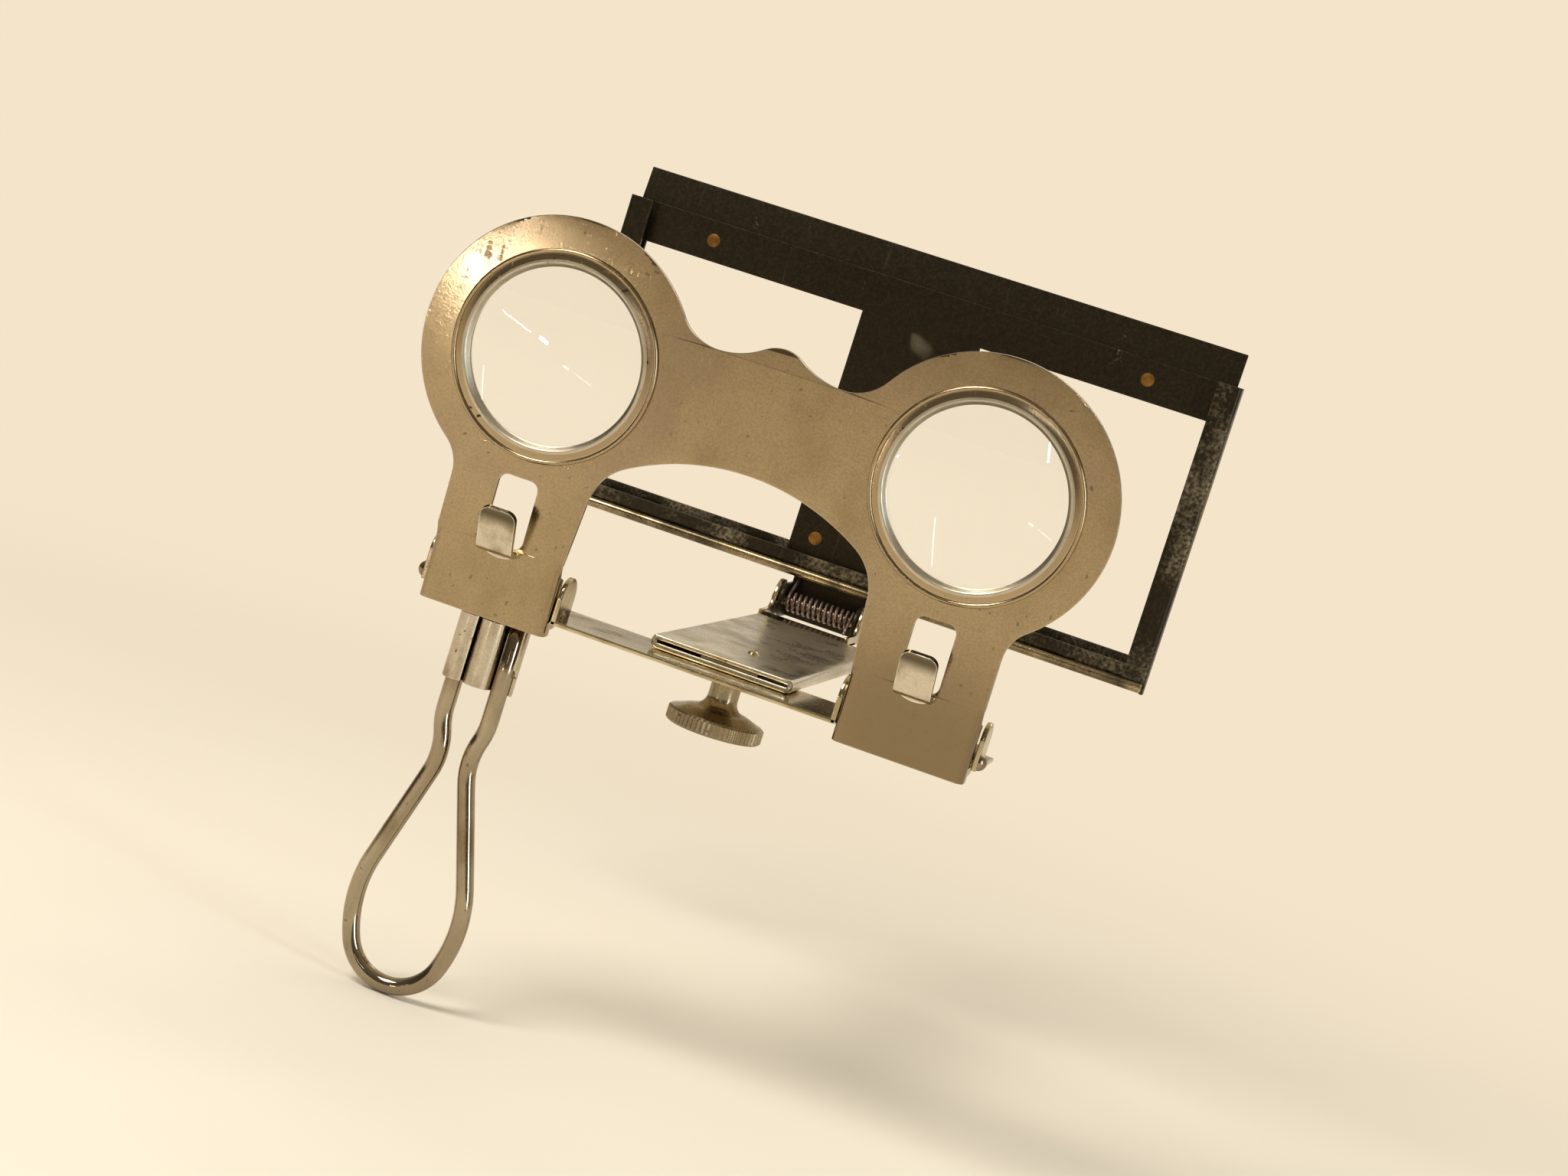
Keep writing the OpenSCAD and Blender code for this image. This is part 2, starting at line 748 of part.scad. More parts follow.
module hinge_axle() {
    color(bright)
        translate([hinge_x, axle_y, axle_z]) {
            bar_x(-bracket_out, bracket_out, axle_r);
            both_sides()
                translate([bracket_out, 0, 0])
                    rotate([0, 90, 0])
                        dome(axle_head_r, axle_head_h);
        }
}

// The spring's middle line: an arm to the tongue, the curls, and an arm to the bracket
steps_per_curl = 8;
coil_steps = spring_curls * steps_per_curl;
coil_end_angle = drop_angle + 360 * spring_curls;
coil_x = -coil_pitch * spring_curls / 2;
arm_gap = (spring_wire + lug_gap) / 2; // from an arm's middle line to the sheet that it bears on
rise_len = (back_y - axle_y - arm_gap - coil_r * cos(rise_angle)) / sin(rise_angle);
drop_len = (axle_z - sleeve_roof - arm_gap + coil_r * sin(drop_angle)) / -cos(drop_angle);

function coil_point(i) =
    let(a = rise_angle + (coil_end_angle - rise_angle) * i / coil_steps)
    [coil_x + coil_pitch * spring_curls * i / coil_steps, coil_r * cos(a), coil_r * sin(a)];

function arm(p, a, length) = p + length * [0, -sin(a), cos(a)];

spring_path = concat(
    [for (f = [-1, -0.5]) arm(coil_point(0), rise_angle, f * rise_len)],
    [for (i = [0:coil_steps]) coil_point(i)],
    [for (f = [0.5, 1]) arm(coil_point(coil_steps), drop_angle, f * drop_len)]);

// One ring of a tube's skin, square to the tube's middle line at point i, for a line that
// never runs along the axis
function tube_ring(path, i, r, sides, axis) =
    let(t = unit(path[min(i + 1, len(path) - 1)] - path[max(i - 1, 0)]),
        u = unit(cross(t, axis)),
        v = cross(t, u))
    [for (k = [0:sides - 1]) path[i] + r * (u * cos(360 * k / sides) + v * sin(360 * k / sides))];

module tube(path, r, sides, axis) {
    last = len(path) - 1;
    points = [for (i = [0:last]) each tube_ring(path, i, r, sides, axis)];
    polyhedron(points, concat(
        [for (i = [0:last - 1], k = [0:sides - 1])
            [i * sides + k, (i + 1) * sides + k, (i + 1) * sides + (k + 1) % sides]],
        [for (i = [0:last - 1], k = [0:sides - 1])
            [i * sides + k, (i + 1) * sides + (k + 1) % sides, i * sides + (k + 1) % sides]],
        [for (k = [1:sides - 2]) [0, k, k + 1]],
        [for (k = [1:sides - 2]) [last * sides, last * sides + k + 1, last * sides + k]]));
}

// Least distance between points of the middle line that are more than half a curl apart
function path_gap(path, apart) = min([for (i = [0:len(path) - 1 - apart])
    min([for (j = [i + apart:len(path) - 1]) norm(path[i] - path[j])])]);

module hinge_spring() {
    echo(spring_gap = path_gap(spring_path, steps_per_curl / 2 + 1) - spring_wire);
    color(rusty)
        translate([hinge_x, axle_y, axle_z])
            tube(spring_path, spring_wire / 2, 6, [1, 0, 0]);
}

module stem_rivet_places() {
    for (s = [-1, 1])
        translate([hinge_x + s * stem_rivet_gap / 2, stem_rivet_z])
            children();
}

module rail_rivet_places() {
    for (s = [-1, 1])
        translate([s * rail_rivet_x, rail_rivet_z])
            children();
}

module hinge_tongue() {
    color(black) {
        stand(rear_y, frame_t)
            difference() {
                rect([hinge_x - tongue_half, axle_z - frame_lug_r], [hinge_x + tongue_half, tongue_top]);
                stem_rivet_places()
                    circle(rivet_r);
            }
        translate([hinge_x, 0, 0])
            both_sides()
                side(lug_in, frame_t)
                    difference() {
                        union() {
                            translate([axle_y, axle_z])
                                circle(frame_lug_r);
                            rect([axle_y, axle_z - frame_lug_r], [rear_y, axle_z + frame_lug_r]);
                        }
                        translate([axle_y, axle_z])
                            circle(axle_r + turn_gap);
                    }
    }
}

module picture_plate() {
    color(black)
        stand(back_y, frame_t)
            difference() {
                union() {
                    rect([-wall_x + 0.2, rail_low], [wall_x - 0.2, rail_z]);
                    rect([-stem_w / 2, floor_z], [stem_w / 2, rail_z]);
                }
                rail_rivet_places()
                    circle(rivet_r);
                stem_rivet_places()
                    circle(rivet_r);
            }
}

module guide_lip() {
    half = wall_x - 0.6;
    back = guide_rise * tan(guide_slope);
    color(black)
        difference() {
            side(-half, 2 * half)
                polygon([[back_y, guide_low], [rear_y, guide_low], [rear_y, rail_z],
                    [rear_y + back, rail_z + guide_rise], [back_y + back, rail_z + guide_rise],
                    [back_y, rail_z]]);
            stand(rear_y + cut, frame_t + 2 * cut)
                rail_rivet_places()
                    circle(rivet_r);
        }
}

module side_channel() {
    low = floor_z - channel_tail;
    box([lip_x, front_y, low], [wall_x + frame_t, slot_front, rail_z]);
    box([wall_x, front_y, low], [wall_x + frame_t, rear_y, rail_z]);
    box([lip_x, back_y, low], [wall_x + frame_t, rear_y, guide_low - slide_gap]);
}

module left_channel() {
    color(black)
        mirror([1, 0, 0])
            side_channel();
}

module right_channel() {
    color(black)
        side_channel();
}

module bottom_channel() {
    half = lip_x - slide_gap;
    floor_low = floor_z - frame_t;
    gap_half = tongue_half + 0.4;
    color(black) {
        side(-half, 2 * half) {
            rect([front_y, floor_low], [slot_front, floor_z + bottom_lip_h]);
            rect([front_y, floor_low], [back_y, floor_z]);
            translate([front_y, bead_z])
                circle(bead_r);
        }
        box([-wall_x, slot_front, floor_low], [wall_x, back_y, floor_z]);
        box([-half, back_y - cut, floor_low], [hinge_x - gap_half, rear_y, floor_z]);
        box([hinge_x + gap_half, back_y - cut, floor_low], [half, rear_y, floor_z]);
        box([-half, back_y, floor_low], [hinge_x - gap_half, rear_y, floor_z + back_leg_h]);
        box([hinge_x + gap_half, back_y, floor_low], [half, rear_y, floor_z + back_leg_h]);
    }
}

module frame_rivets() {
    color(copper)
        stand(rear_y + rivet_tail, rear_y + rivet_tail - picture_y) {
            rail_rivet_places()
                circle(rivet_r);
            stem_rivet_places()
                circle(rivet_r);
        }
}

// Right half of the wire's middle line, from its top end down to the middle of the bottom
half_wire = concat(
    [[top_half, -wire_top_drop], [top_half, bend_top]],
    arc([bend_in_c.x, bend_top], neck_r, 0, -bend_angle, 4),
    arc(bend_out_c, neck_r, 180 - bend_angle, 180 + flare, 8),
    [side_start],
    arc(side_c, side_r, flare, -side_angle, 8),
    arc(bottom_c, bottom_r, -side_angle, -90, 8));
other_half = [for (p = flipped(half_wire)) if (p.x < -0.001) p];
handle_path = [for (p = concat(half_wire, other_half)) [p.x, 0, p.y]];

module handle_wire() {
    color(bright)
        translate([handle_x, 0, 0])
            tube(handle_path, wire_r, 16, [0, 1, 0]);
}

// One face of a sheet whose middle line is given, at the distance off to its left
function beside(points, off) = [for (i = [0:len(points) - 1])
    let(t = unit(points[min(i + 1, len(points) - 1)] - points[max(i - 1, 0)]))
    points[i] + off * [-t.y, t.x]];

// The strap's middle line seen from above: round the left wire, forward between the two wires
// and round the back of the right wire
wrap_r = wire_r + 0.01 + strap_t / 2;
strap_path = concat(
    [[-top_half, 0] + wrap_r * turned(315)],
    arc([-top_half, 0], wrap_r, 315, 0, 28),
    arc([0, 0], top_half - wrap_r, 180, 360, 18),
    arc([top_half, 0], wrap_r, 180, -40, 20));
strap_front = beside(strap_path, -strap_t / 2);
strap_rear = beside(strap_path, strap_t / 2);

module handle_strap() {
    short_h = 0.6 * strap_h;
    sheet_y = 0.1 - barrel_r;
    web_x = top_half - strap_r;
    color(nickel)
        translate([handle_x, 0, 0])
            difference() {
                union() {
                    translate([0, 0, strap_low])
                        linear_extrude(strap_h)
                            polygon(concat(strap_front, [for (i = [len(strap_rear) - 1:-1:0])
                                strap_rear[i]]));
                    translate([0, 0, pin_h])
                        bar_x(-barrel_w / 2, barrel_w / 2, barrel_r);
                    box([-web_x, sheet_y, strap_low + strap_h - 1.5],
                        [web_x, sheet_y + strap_t, pin_h]);
                }
                translate([0, 0, pin_h])
                    bar_x(-barrel_w / 2 - cut, barrel_w / 2 + cut, pin_r + turn_gap);
                box([top_half + 0.3, -strap_r - 1, strap_low - cut],
                    [top_half + strap_r + 1, 0.3, strap_low + strap_h - short_h]);
            }
}

lens_plate();
bezel(-lens_x);  // left_bezel
bezel(lens_x);  // right_bezel
lens(-lens_x);  // left_lens
lens(lens_x);  // right_lens
lens_ring(-lens_x);  // left_lens_ring
lens_ring(lens_x);  // right_lens_ring
base_strip();
leg_pins();
carriage();
stop_stud();
thumb_screw();
clamp_plate();
hinge_bracket();
hinge_axle();
hinge_spring();
hinge_tongue();
picture_plate();
guide_lip();
left_channel();
right_channel();
bottom_channel();
frame_rivets();
handle_wire();
handle_strap();
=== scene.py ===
"""Looks of a folding stereoscope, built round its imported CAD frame.

Sizes are in millimetres in the row frame: x runs to the viewer's right, y away from the
viewer and z up, from the middle of the base strip's underside. They become metres when a
mesh is made.
"""

import json
import logging
import math
from collections.abc import Callable
from dataclasses import dataclass, field
from enum import Enum

import bmesh
import bpy
from mathutils import Matrix, Quaternion, Vector

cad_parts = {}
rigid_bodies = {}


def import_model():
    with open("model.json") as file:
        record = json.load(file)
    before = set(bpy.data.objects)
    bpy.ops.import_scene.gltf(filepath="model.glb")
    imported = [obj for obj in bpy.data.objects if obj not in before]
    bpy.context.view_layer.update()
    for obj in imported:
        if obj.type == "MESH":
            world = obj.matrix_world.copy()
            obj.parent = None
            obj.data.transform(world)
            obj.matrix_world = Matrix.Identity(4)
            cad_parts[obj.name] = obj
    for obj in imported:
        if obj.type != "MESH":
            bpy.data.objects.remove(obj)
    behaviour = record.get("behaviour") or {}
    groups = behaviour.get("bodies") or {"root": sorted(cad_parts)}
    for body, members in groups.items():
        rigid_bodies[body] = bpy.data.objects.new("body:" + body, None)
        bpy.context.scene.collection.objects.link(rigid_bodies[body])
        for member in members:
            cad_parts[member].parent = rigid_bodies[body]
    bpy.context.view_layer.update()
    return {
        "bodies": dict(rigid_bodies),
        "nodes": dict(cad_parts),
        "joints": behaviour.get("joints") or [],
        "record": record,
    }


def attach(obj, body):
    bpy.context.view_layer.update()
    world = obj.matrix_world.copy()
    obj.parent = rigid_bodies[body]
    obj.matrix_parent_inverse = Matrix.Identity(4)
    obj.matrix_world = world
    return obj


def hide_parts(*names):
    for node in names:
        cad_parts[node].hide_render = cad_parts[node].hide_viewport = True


log = logging.getLogger("stereoscope")

MM = 0.001

# The usual rounding of a sheet's edges, in millimetres
ROUNDING = 0.12
# How far a wire's rounded end reaches and how wide it is, as shares of the wire's radius
TIP_REACH, TIP_WIDTH = 0.3, 0.6
# Distances in metres below which points are joined and edges are dropped
JOIN, SLIVER = 2e-6, 1e-7
# How much large faces count when flats are shaded as true flats
FLAT_WEIGHT = 80

Point = tuple[float, float]
Point3 = tuple[float, float, float]
Colour = tuple[float, float, float]
Outline = list[Point]
Socket = bpy.types.NodeSocket


class Body(Enum):
    """The moving bodies of the CAD frame."""

    BASE = "base"
    EYE_FRAME = "eye_frame"
    CARRIAGE = "carriage"
    PICTURE_FRAME = "picture_frame"
    SCREW = "screw"
    CLAMP = "clamp"
    HANDLE = "handle"


class Slot(Enum):
    """The record's material slots."""

    MATT_NICKEL = "matt_nickel"
    BRIGHT_NICKEL = "bright_nickel"
    WORN_NICKEL = "worn_nickel"
    BLACK_JAPAN = "black_japan"
    COPPER = "copper"
    RUSTY_STEEL = "rusty_steel"
    LENS_GLASS = "lens_glass"


class Axis(Enum):
    """The line that a turned piece is turned about."""

    X = "x"
    Y = "y"
    Z = "z"


# Points and outlines


def turned(angle: float, radius: float = 1.0, centre: Point = (0.0, 0.0)) -> Point:
    """Return the point at an angle in degrees on a circle.

    Args:
        angle: Angle from the first axis, in degrees.
        radius: Radius of the circle.
        centre: Centre of the circle.

    Returns:
        The point.
    """
    a = math.radians(angle)
    return (centre[0] + radius * math.cos(a), centre[1] + radius * math.sin(a))


def arc(centre: Point, radius: float, start: float, end: float, steps: int) -> Outline:
    """Return points along an arc, both ends among them.

    Args:
        centre: Centre of the arc.
        radius: Radius of the arc.
        start: First angle, in degrees.
        end: Last angle, in degrees.
        steps: Number of equal steps.

    Returns:
        The points in order.
    """
    return [turned(start + (end - start) * i / steps, radius, centre) for i in range(steps + 1)]


def circle(centre: Point = (0.0, 0.0), radius: float = 1.0, count: int = 24) -> Outline:
    """Return a circle of equally spaced points."""
    return [turned(360 * i / count, radius, centre) for i in range(count)]


def oblong(low: Point, high: Point) -> Outline:
    """Return the outline of a rectangle between two corners."""
    return [low, (high[0], low[1]), high, (low[0], high[1])]


def aim(p: Point, q: Point) -> float:
    """Return the angle of the line from p to q, in degrees."""
    return math.degrees(math.atan2(q[1] - p[1], q[0] - p[0]))


def flipped(points: Outline) -> Outline:
    """Return an outline mirrored in the middle plane, in the opposite order."""
    return [(-x, y) for x, y in reversed(points)]


def bent(corners: Outline, radius: float, steps: int = 6) -> Outline:
    """Round the corners of a line, as a sheet is bent.

    Args:
        corners: The line's two ends and the corners between them.
        radius: Radius of each bend, at the line.
        steps: Steps in each bend.

    Returns:
        The rounded line.
    """
    line = [corners[0]]
    for a, p, b in zip(corners, corners[1:], corners[2:]):
        corner = Vector(p)
        back = (Vector(a) - corner).normalized()
        on = (Vector(b) - corner).normalized()
        half = back.angle(on) / 2
        centre = corner + (back + on).normalized() * radius / math.sin(half)
        first = corner + back * radius / math.tan(half) - centre
        last = corner + on * radius / math.tan(half) - centre
        a0 = math.atan2(first.y, first.x)
        sweep = (math.atan2(last.y, last.x) - a0 + math.pi) % math.tau - math.pi
        line += arc((centre.x, centre.y), radius, math.degrees(a0), math.degrees(a0 + sweep), steps)
    return line + [corners[-1]]


def sheet_section(line: Outline, thickness: float) -> Outline:
    """Return the closed outline of a sheet seen from its edge.

    Args:
        line: The sheet's middle line.
        thickness: The sheet's thickness.

    Returns:
        The outline, up one face and back down the other.
    """
    near, far = [], []
    for i, p in enumerate(line):
        a, b = line[max(i - 1, 0)], line[min(i + 1, len(line) - 1)]
        along = Vector((b[0] - a[0], b[1] - a[1])).normalized() * (thickness / 2)
        near.append((p[0] + along.y, p[1] - along.x))
        far.append((p[0] - along.y, p[1] + along.x))
    return near + far[::-1]


def rounded_box(low: Point, high: Point, radius: float, steps: int = 5) -> Outline:
    """Return the outline of a rectangle with round corners.

    Args:
        low: Lowest corner.
        high: Highest corner.
        radius: Radius of the corners.
        steps: Steps in each corner.

    Returns:
        The closed outline.
    """
    x0, y0, x1, y1 = low[0] + radius, low[1] + radius, high[0] - radius, high[1] - radius
    return (
        arc((x1, y0), radius, -90, 0, steps)
        + arc((x1, y1), radius, 0, 90, steps)
        + arc((x0, y1), radius, 90, 180, steps)
        + arc((x0, y0), radius, 180, 270, steps)
    )


# Solid shapes


@dataclass
class Shape:
    """Points in millimetres and the faces between them."""

    points: list[Point3] = field(default_factory=list)
    faces: list[tuple[int, ...]] = field(default_factory=list)

    def add(self, *others: "Shape") -> "Shape":
        """Add other shapes to this one and return it.

        Args:
            *others: The shapes to add.

        Returns:
            This shape.
        """
        for other in others:
            start = len(self.points)
            self.points += other.points
            self.faces += [tuple(start + i for i in face) for face in other.faces]
        return self

    def work(self, scale: float = 1.0) -> bmesh.types.BMesh:
        """Return this shape as a mesh to work on, without faces that use a point twice.

        Args:
            scale: What each point is multiplied by.

        Returns:
            The mesh, which is the caller's to free.
        """
        work = bmesh.new()
        corners = [work.verts.new(Vector(p) * scale) for p in self.points]
        for face in self.faces:
            ends = [corners[i] for i in face]
            if len(set(face)) == len(face) and not work.faces.get(ends):
                work.faces.new(ends)
        return work

    def placed(self, matrix: Matrix) -> "Shape":
        """Return this shape moved by a matrix in millimetres."""
        return Shape([tuple(matrix @ Vector(p)) for p in self.points], list(self.faces))

    def mirrored(self) -> "Shape":
        """Return this shape mirrored in the plane x = 0."""
        return Shape([(-x, y, z) for x, y, z in self.points], [f[::-1] for f in self.faces])


def loft(rings: list[list[Point3]], looped: bool = False) -> Shape:
    """Join closed rings of equally many points into a skin.

    Args:
        rings: The rings in order.
        looped: Whether the last ring joins the first; otherwise both ends are closed.

    Returns:
        The skin as a shape.
    """
    n, count = len(rings[0]), len(rings)
    shape = Shape([p for ring in rings for p in ring])
    for i in range(count if looped else count - 1):
        a, b = i * n, (i + 1) % count * n
        shape.faces += [(a + k, b + k, b + (k + 1) % n, a + (k + 1) % n) for k in range(n)]
    if not looped:
        shape.faces += [tuple(range(n)), tuple(range((count - 1) * n, count * n))]
    return shape


def along_x(section: Outline, low: float, high: float) -> Shape:
    """Draw a (y, z) section out along x."""
    return loft([[(x, y, z) for y, z in section] for x in (low, high)])


def along_z(section: Outline, low: float, high: float) -> Shape:
    """Draw an (x, y) section out along z."""
    return loft([[(x, y, z) for x, y in section] for z in (low, high)])


def block(low: Point3, high: Point3) -> Shape:
    """Return a straight piece of sheet or bar between two corners."""
    return along_z(oblong(low[:2], high[:2]), low[2], high[2])


def lathe(
    profile: Outline, axis: Axis, place: Point3 = (0.0, 0.0, 0.0), steps: int = 96
) -> Shape:
    """Turn a closed profile about an axis.

    Args:
        profile: Points as (radius, height along the axis).
        axis: The axis.
        place: A point on the axis, from which heights are counted.
        steps: Number of steps round the axis.

    Returns:
        The turned shape.
    """
    rings = []
    for c, s in circle(count=steps):
        put = {
            Axis.X: lambda r, h: (h, r * c, r * s),
            Axis.Y: lambda r, h: (r * c, h, r * s),
            Axis.Z: lambda r, h: (r * c, r * s, h),
        }[axis]
        rings.append([tuple(Vector(put(r, h)) + Vector(place)) for r, h in profile])
    return loft(rings, looped=True)


def tube(path: list[Point3], radius: float, sides: int = 20) -> Shape:
    """Return a round wire along a path.

    Args:
        path: The wire's middle line.
        radius: The wire's radius.
        sides: Number of sides of the wire.

    Returns:
        The wire, with slightly rounded ends.
    """
    points = [Vector(p) for p in path]
    start = (points[0] - points[1]).normalized()
    end = (points[-1] - points[-2]).normalized()
    stations = [(points[0] + start * radius * TIP_REACH, TIP_WIDTH)]
    stations += [(p, 1.0) for p in points]
    stations.append((points[-1] + end * radius * TIP_REACH, TIP_WIDTH))
    rings: list[list[Point3]] = []
    side = Vector((0.0, 1.0, 0.0)) if abs(start.y) < 0.9 else Vector((1.0, 0.0, 0.0))
    for i, (p, share) in enumerate(stations):
        before = stations[max(i - 1, 0)][0]
        after = stations[min(i + 1, len(stations) - 1)][0]
        along = (after - before).normalized()
        side = (side - along * side.dot(along)).normalized()
        up = along.cross(side)
        rings.append([
            tuple(p + (side * c + up * s) * radius * share) for c, s in circle(count=sides)
        ])
    return loft(rings)


def flat_sheet(outlines: list[Outline], thickness: float, rounding: float = ROUNDING) -> Shape:
    """Return a flat sheet with holes and rounded edges, as (x, depth, z).

    Args:
        outlines: The outer outline and then the holes, as (x, z).
        thickness: The sheet's thickness; depth runs from minus to plus half of it.
        rounding: Radius of the sheet's edges.

    Returns:
        The sheet.
    """
    curve = bpy.data.curves.new("outline", "CURVE")
    curve.dimensions, curve.fill_mode = "2D", "BOTH"
    curve.extrude, curve.bevel_depth = thickness / 2 - rounding, rounding
    curve.bevel_resolution, curve.offset = 1, -rounding
    for outline in outlines:
        spline = curve.splines.new("POLY")
        spline.points.add(len(outline) - 1)
        for point, (x, z) in zip(spline.points, outline):
            point.co = (x, z, 0.0, 1.0)
        spline.use_cyclic_u = True
    drawn = show("outline", curve)
    evaluated = drawn.evaluated_get(bpy.context.evaluated_depsgraph_get())
    mesh = bpy.data.meshes.new_from_object(evaluated)
    shape = Shape(
        [(v.co.x, -v.co.z, v.co.y) for v in mesh.vertices],
        [tuple(p.vertices) for p in mesh.polygons],
    )
    bpy.data.objects.remove(drawn)
    bpy.data.meshes.remove(mesh)
    bpy.data.curves.remove(curve)
    return shape


def standing(
    outlines: list[Outline], front: float, thickness: float, rounding: float = ROUNDING
) -> Shape:
    """Return a flat upright sheet drawn as (x, z), with its front face at y = front.

    Args:
        outlines: The outer outline and its holes.
        front: The y of its front face.
        thickness: The sheet's thickness.
        rounding: How far its edges are rounded.

    Returns:
        The sheet.
    """
    return flat_sheet(outlines, thickness, rounding).placed(
        Matrix.Translation((0, front + thickness / 2, 0))
    )


def sideways(
    outlines: list[Outline], low_x: float, thickness: float, rounding: float = ROUNDING
) -> Shape:
    """Return a flat sheet drawn as (y, z), from x = low_x up.

    Args:
        outlines: The outer outline and its holes.
        low_x: Where its lower side lies.
        thickness: The sheet's thickness.
        rounding: How far its edges are rounded.

    Returns:
        The sheet.
    """
    sheet = flat_sheet(outlines, thickness, rounding)
    middle = low_x + thickness / 2
    return Shape([(middle - d, y, z) for y, d, z in sheet.points], sheet.faces)


def lying(
    outlines: list[Outline], low_z: float, thickness: float, rounding: float = ROUNDING
) -> Shape:
    """Return a flat sheet drawn as (x, y), from z = low_z up.

    Args:
        outlines: The outer outline and its holes.
        low_z: Where its underside lies.
        thickness: The sheet's thickness.
        rounding: How far its edges are rounded.

    Returns:
        The sheet.
    """
    sheet = flat_sheet(outlines, thickness, rounding)
    middle = low_z + thickness / 2
    return Shape([(x, y, middle + d) for x, d, y in sheet.points], sheet.faces)


def domed(radius: float, height: float, steps: int = 8) -> Outline:
    """Return the profile of a round head, from its edge up to the axis.

    Args:
        radius: The head's radius at its edge.
        height: The head's height.
        steps: How many steps the curve has.

    Returns:
        The profile, as (radius, height above the edge).
    """
    ball = (radius * radius + height * height) / (2 * height)
    reach = math.degrees(math.asin(radius / ball))
    turns = [math.radians(reach * (1 - i / steps)) for i in range(steps + 1)]
    return [(ball * math.sin(a), height - ball + ball * math.cos(a)) for a in turns]


def show(name: str, data: bpy.types.ID) -> bpy.types.Object:
    """Return a new object in the scene that holds a mesh, a lamp or a camera.

    Args:
        name: The object's name.
        data: The mesh, lamp or camera.

    Returns:
        The object.
    """
    thing = bpy.data.objects.new(name, data)
    bpy.context.scene.collection.objects.link(thing)
    return thing


def make(
    name: str,
    shape: Shape,
    finish: "Finish",
    body: Body,
    nodes: tuple[str, ...] = (),
    soft: float = 0.0,
    sharp: float = 35.0,
    even: bool = False,
) -> bpy.types.Object:
    """Make a piece, dress it and let it ride on its body.

    Args:
        name: The piece's name.
        shape: Its shape in millimetres.
        finish: Its finish.
        body: The body that it rides on.
        nodes: The CAD nodes that it stands for.
        soft: Radius that its hard edges are rounded by.
        sharp: Angle in degrees above which an edge shows as an edge.
        even: Whether its large flats are shaded as true flats.

    Returns:
        The piece.
    """
    mesh = bpy.data.meshes.new(name)
    work = shape.work(MM)
    bmesh.ops.remove_doubles(work, verts=work.verts, dist=JOIN)
    bmesh.ops.dissolve_degenerate(work, edges=work.edges, dist=SLIVER)
    bmesh.ops.recalc_face_normals(work, faces=work.faces)
    work.to_mesh(mesh)
    work.free()
    mesh.shade_smooth()
    mesh.set_sharp_from_angle(angle=math.radians(sharp))
    piece = show(name, mesh)
    if soft:
        edge = piece.modifiers.new("rounded edges", "BEVEL")
        edge.width, edge.segments = soft * MM, 2
        edge.limit_method, edge.angle_limit = "ANGLE", math.radians(sharp)
        edge.harden_normals = True
    if even:
        flats = piece.modifiers.new("even flats", "WEIGHTED_NORMAL")
        flats.keep_sharp, flats.weight = True, FLAT_WEIGHT
    mesh.materials.append(finish.material())
    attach(piece, body.value)
    if nodes:
        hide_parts(*nodes)
    return piece


# Finishes


def darker(colour: Colour, share: float) -> Colour:
    """Return a colour scaled down to a share of its strength."""
    return tuple(c * share for c in colour)


class Nodes:
    """A shader's node tree, built in short calls."""

    def __init__(self, tree: bpy.types.NodeTree) -> None:
        """Keep the tree.

        Args:
            tree: The node tree.
        """
        self.tree = tree

    def fill(self, socket: Socket, value: object) -> None:
        """Link an input to another node's output, or set it to a number or a colour.

        Args:
            socket: The input.
            value: The output, number or colour.
        """
        if isinstance(value, Socket):
            self.tree.links.new(value, socket)
        elif socket.type == "RGBA":
            socket.default_value = (*value, 1.0)
        else:
            socket.default_value = value

    def node(self, kind: str, inputs: dict, **settings: object) -> bpy.types.Node:
        """Add a node.

        Args:
            kind: Its type, without the word ShaderNode.
            inputs: What goes into it, by the inputs' names or numbers.
            **settings: Its settings.

        Returns:
            The node.
        """
        node = self.tree.nodes.new(f"ShaderNode{kind}")
        for name, value in settings.items():
            setattr(node, name, value)
        for name, value in inputs.items():
            self.fill(node.inputs[name], value)
        return node

    def ramp(self, source: Socket, low: Point, high: Point) -> Socket:
        """Map a value from low[0]..high[0] to low[1]..high[1], smoothly and clamped.

        Args:
            source: The value to map.
            low: The lower end, before and after.
            high: The upper end, before and after.

        Returns:
            The mapped value.
        """
        names = ("From Min", "To Min", "From Max", "To Max")
        inputs = {"Value": source, **dict(zip(names, (*low, *high)))}
        return self.node("MapRange", inputs, interpolation_type="SMOOTHSTEP").outputs["Result"]

    def sum(self, kind: str, a: Socket, b: object) -> Socket:
        """Combine two values, or a value and a number.

        Args:
            kind: The operation, such as MULTIPLY.
            a: The first value.
            b: The second value or a number.

        Returns:
            The result.
        """
        return self.node("Math", {0: a, 1: b}, operation=kind).outputs["Value"]

    def mix(self, share: Socket, a: object, b: object) -> Socket:
        """Mix two colours, each a colour or a socket, by a share from 0 to 1."""
        return self.node("Mix", {"Factor": share, 6: a, 7: b}, data_type="RGBA").outputs[2]

    def ray(self, kind: str) -> Socket:
        """Return 1 for one kind of ray, such as Camera, and 0 for all others."""
        return self.node("LightPath", {}).outputs[f"Is {kind} Ray"]

    def looked_at(self) -> Socket:
        """Return 1 where the camera looks, straight or through glass."""
        return self.sum("MAXIMUM", self.ray("Camera"), self.ray("Transmission"))


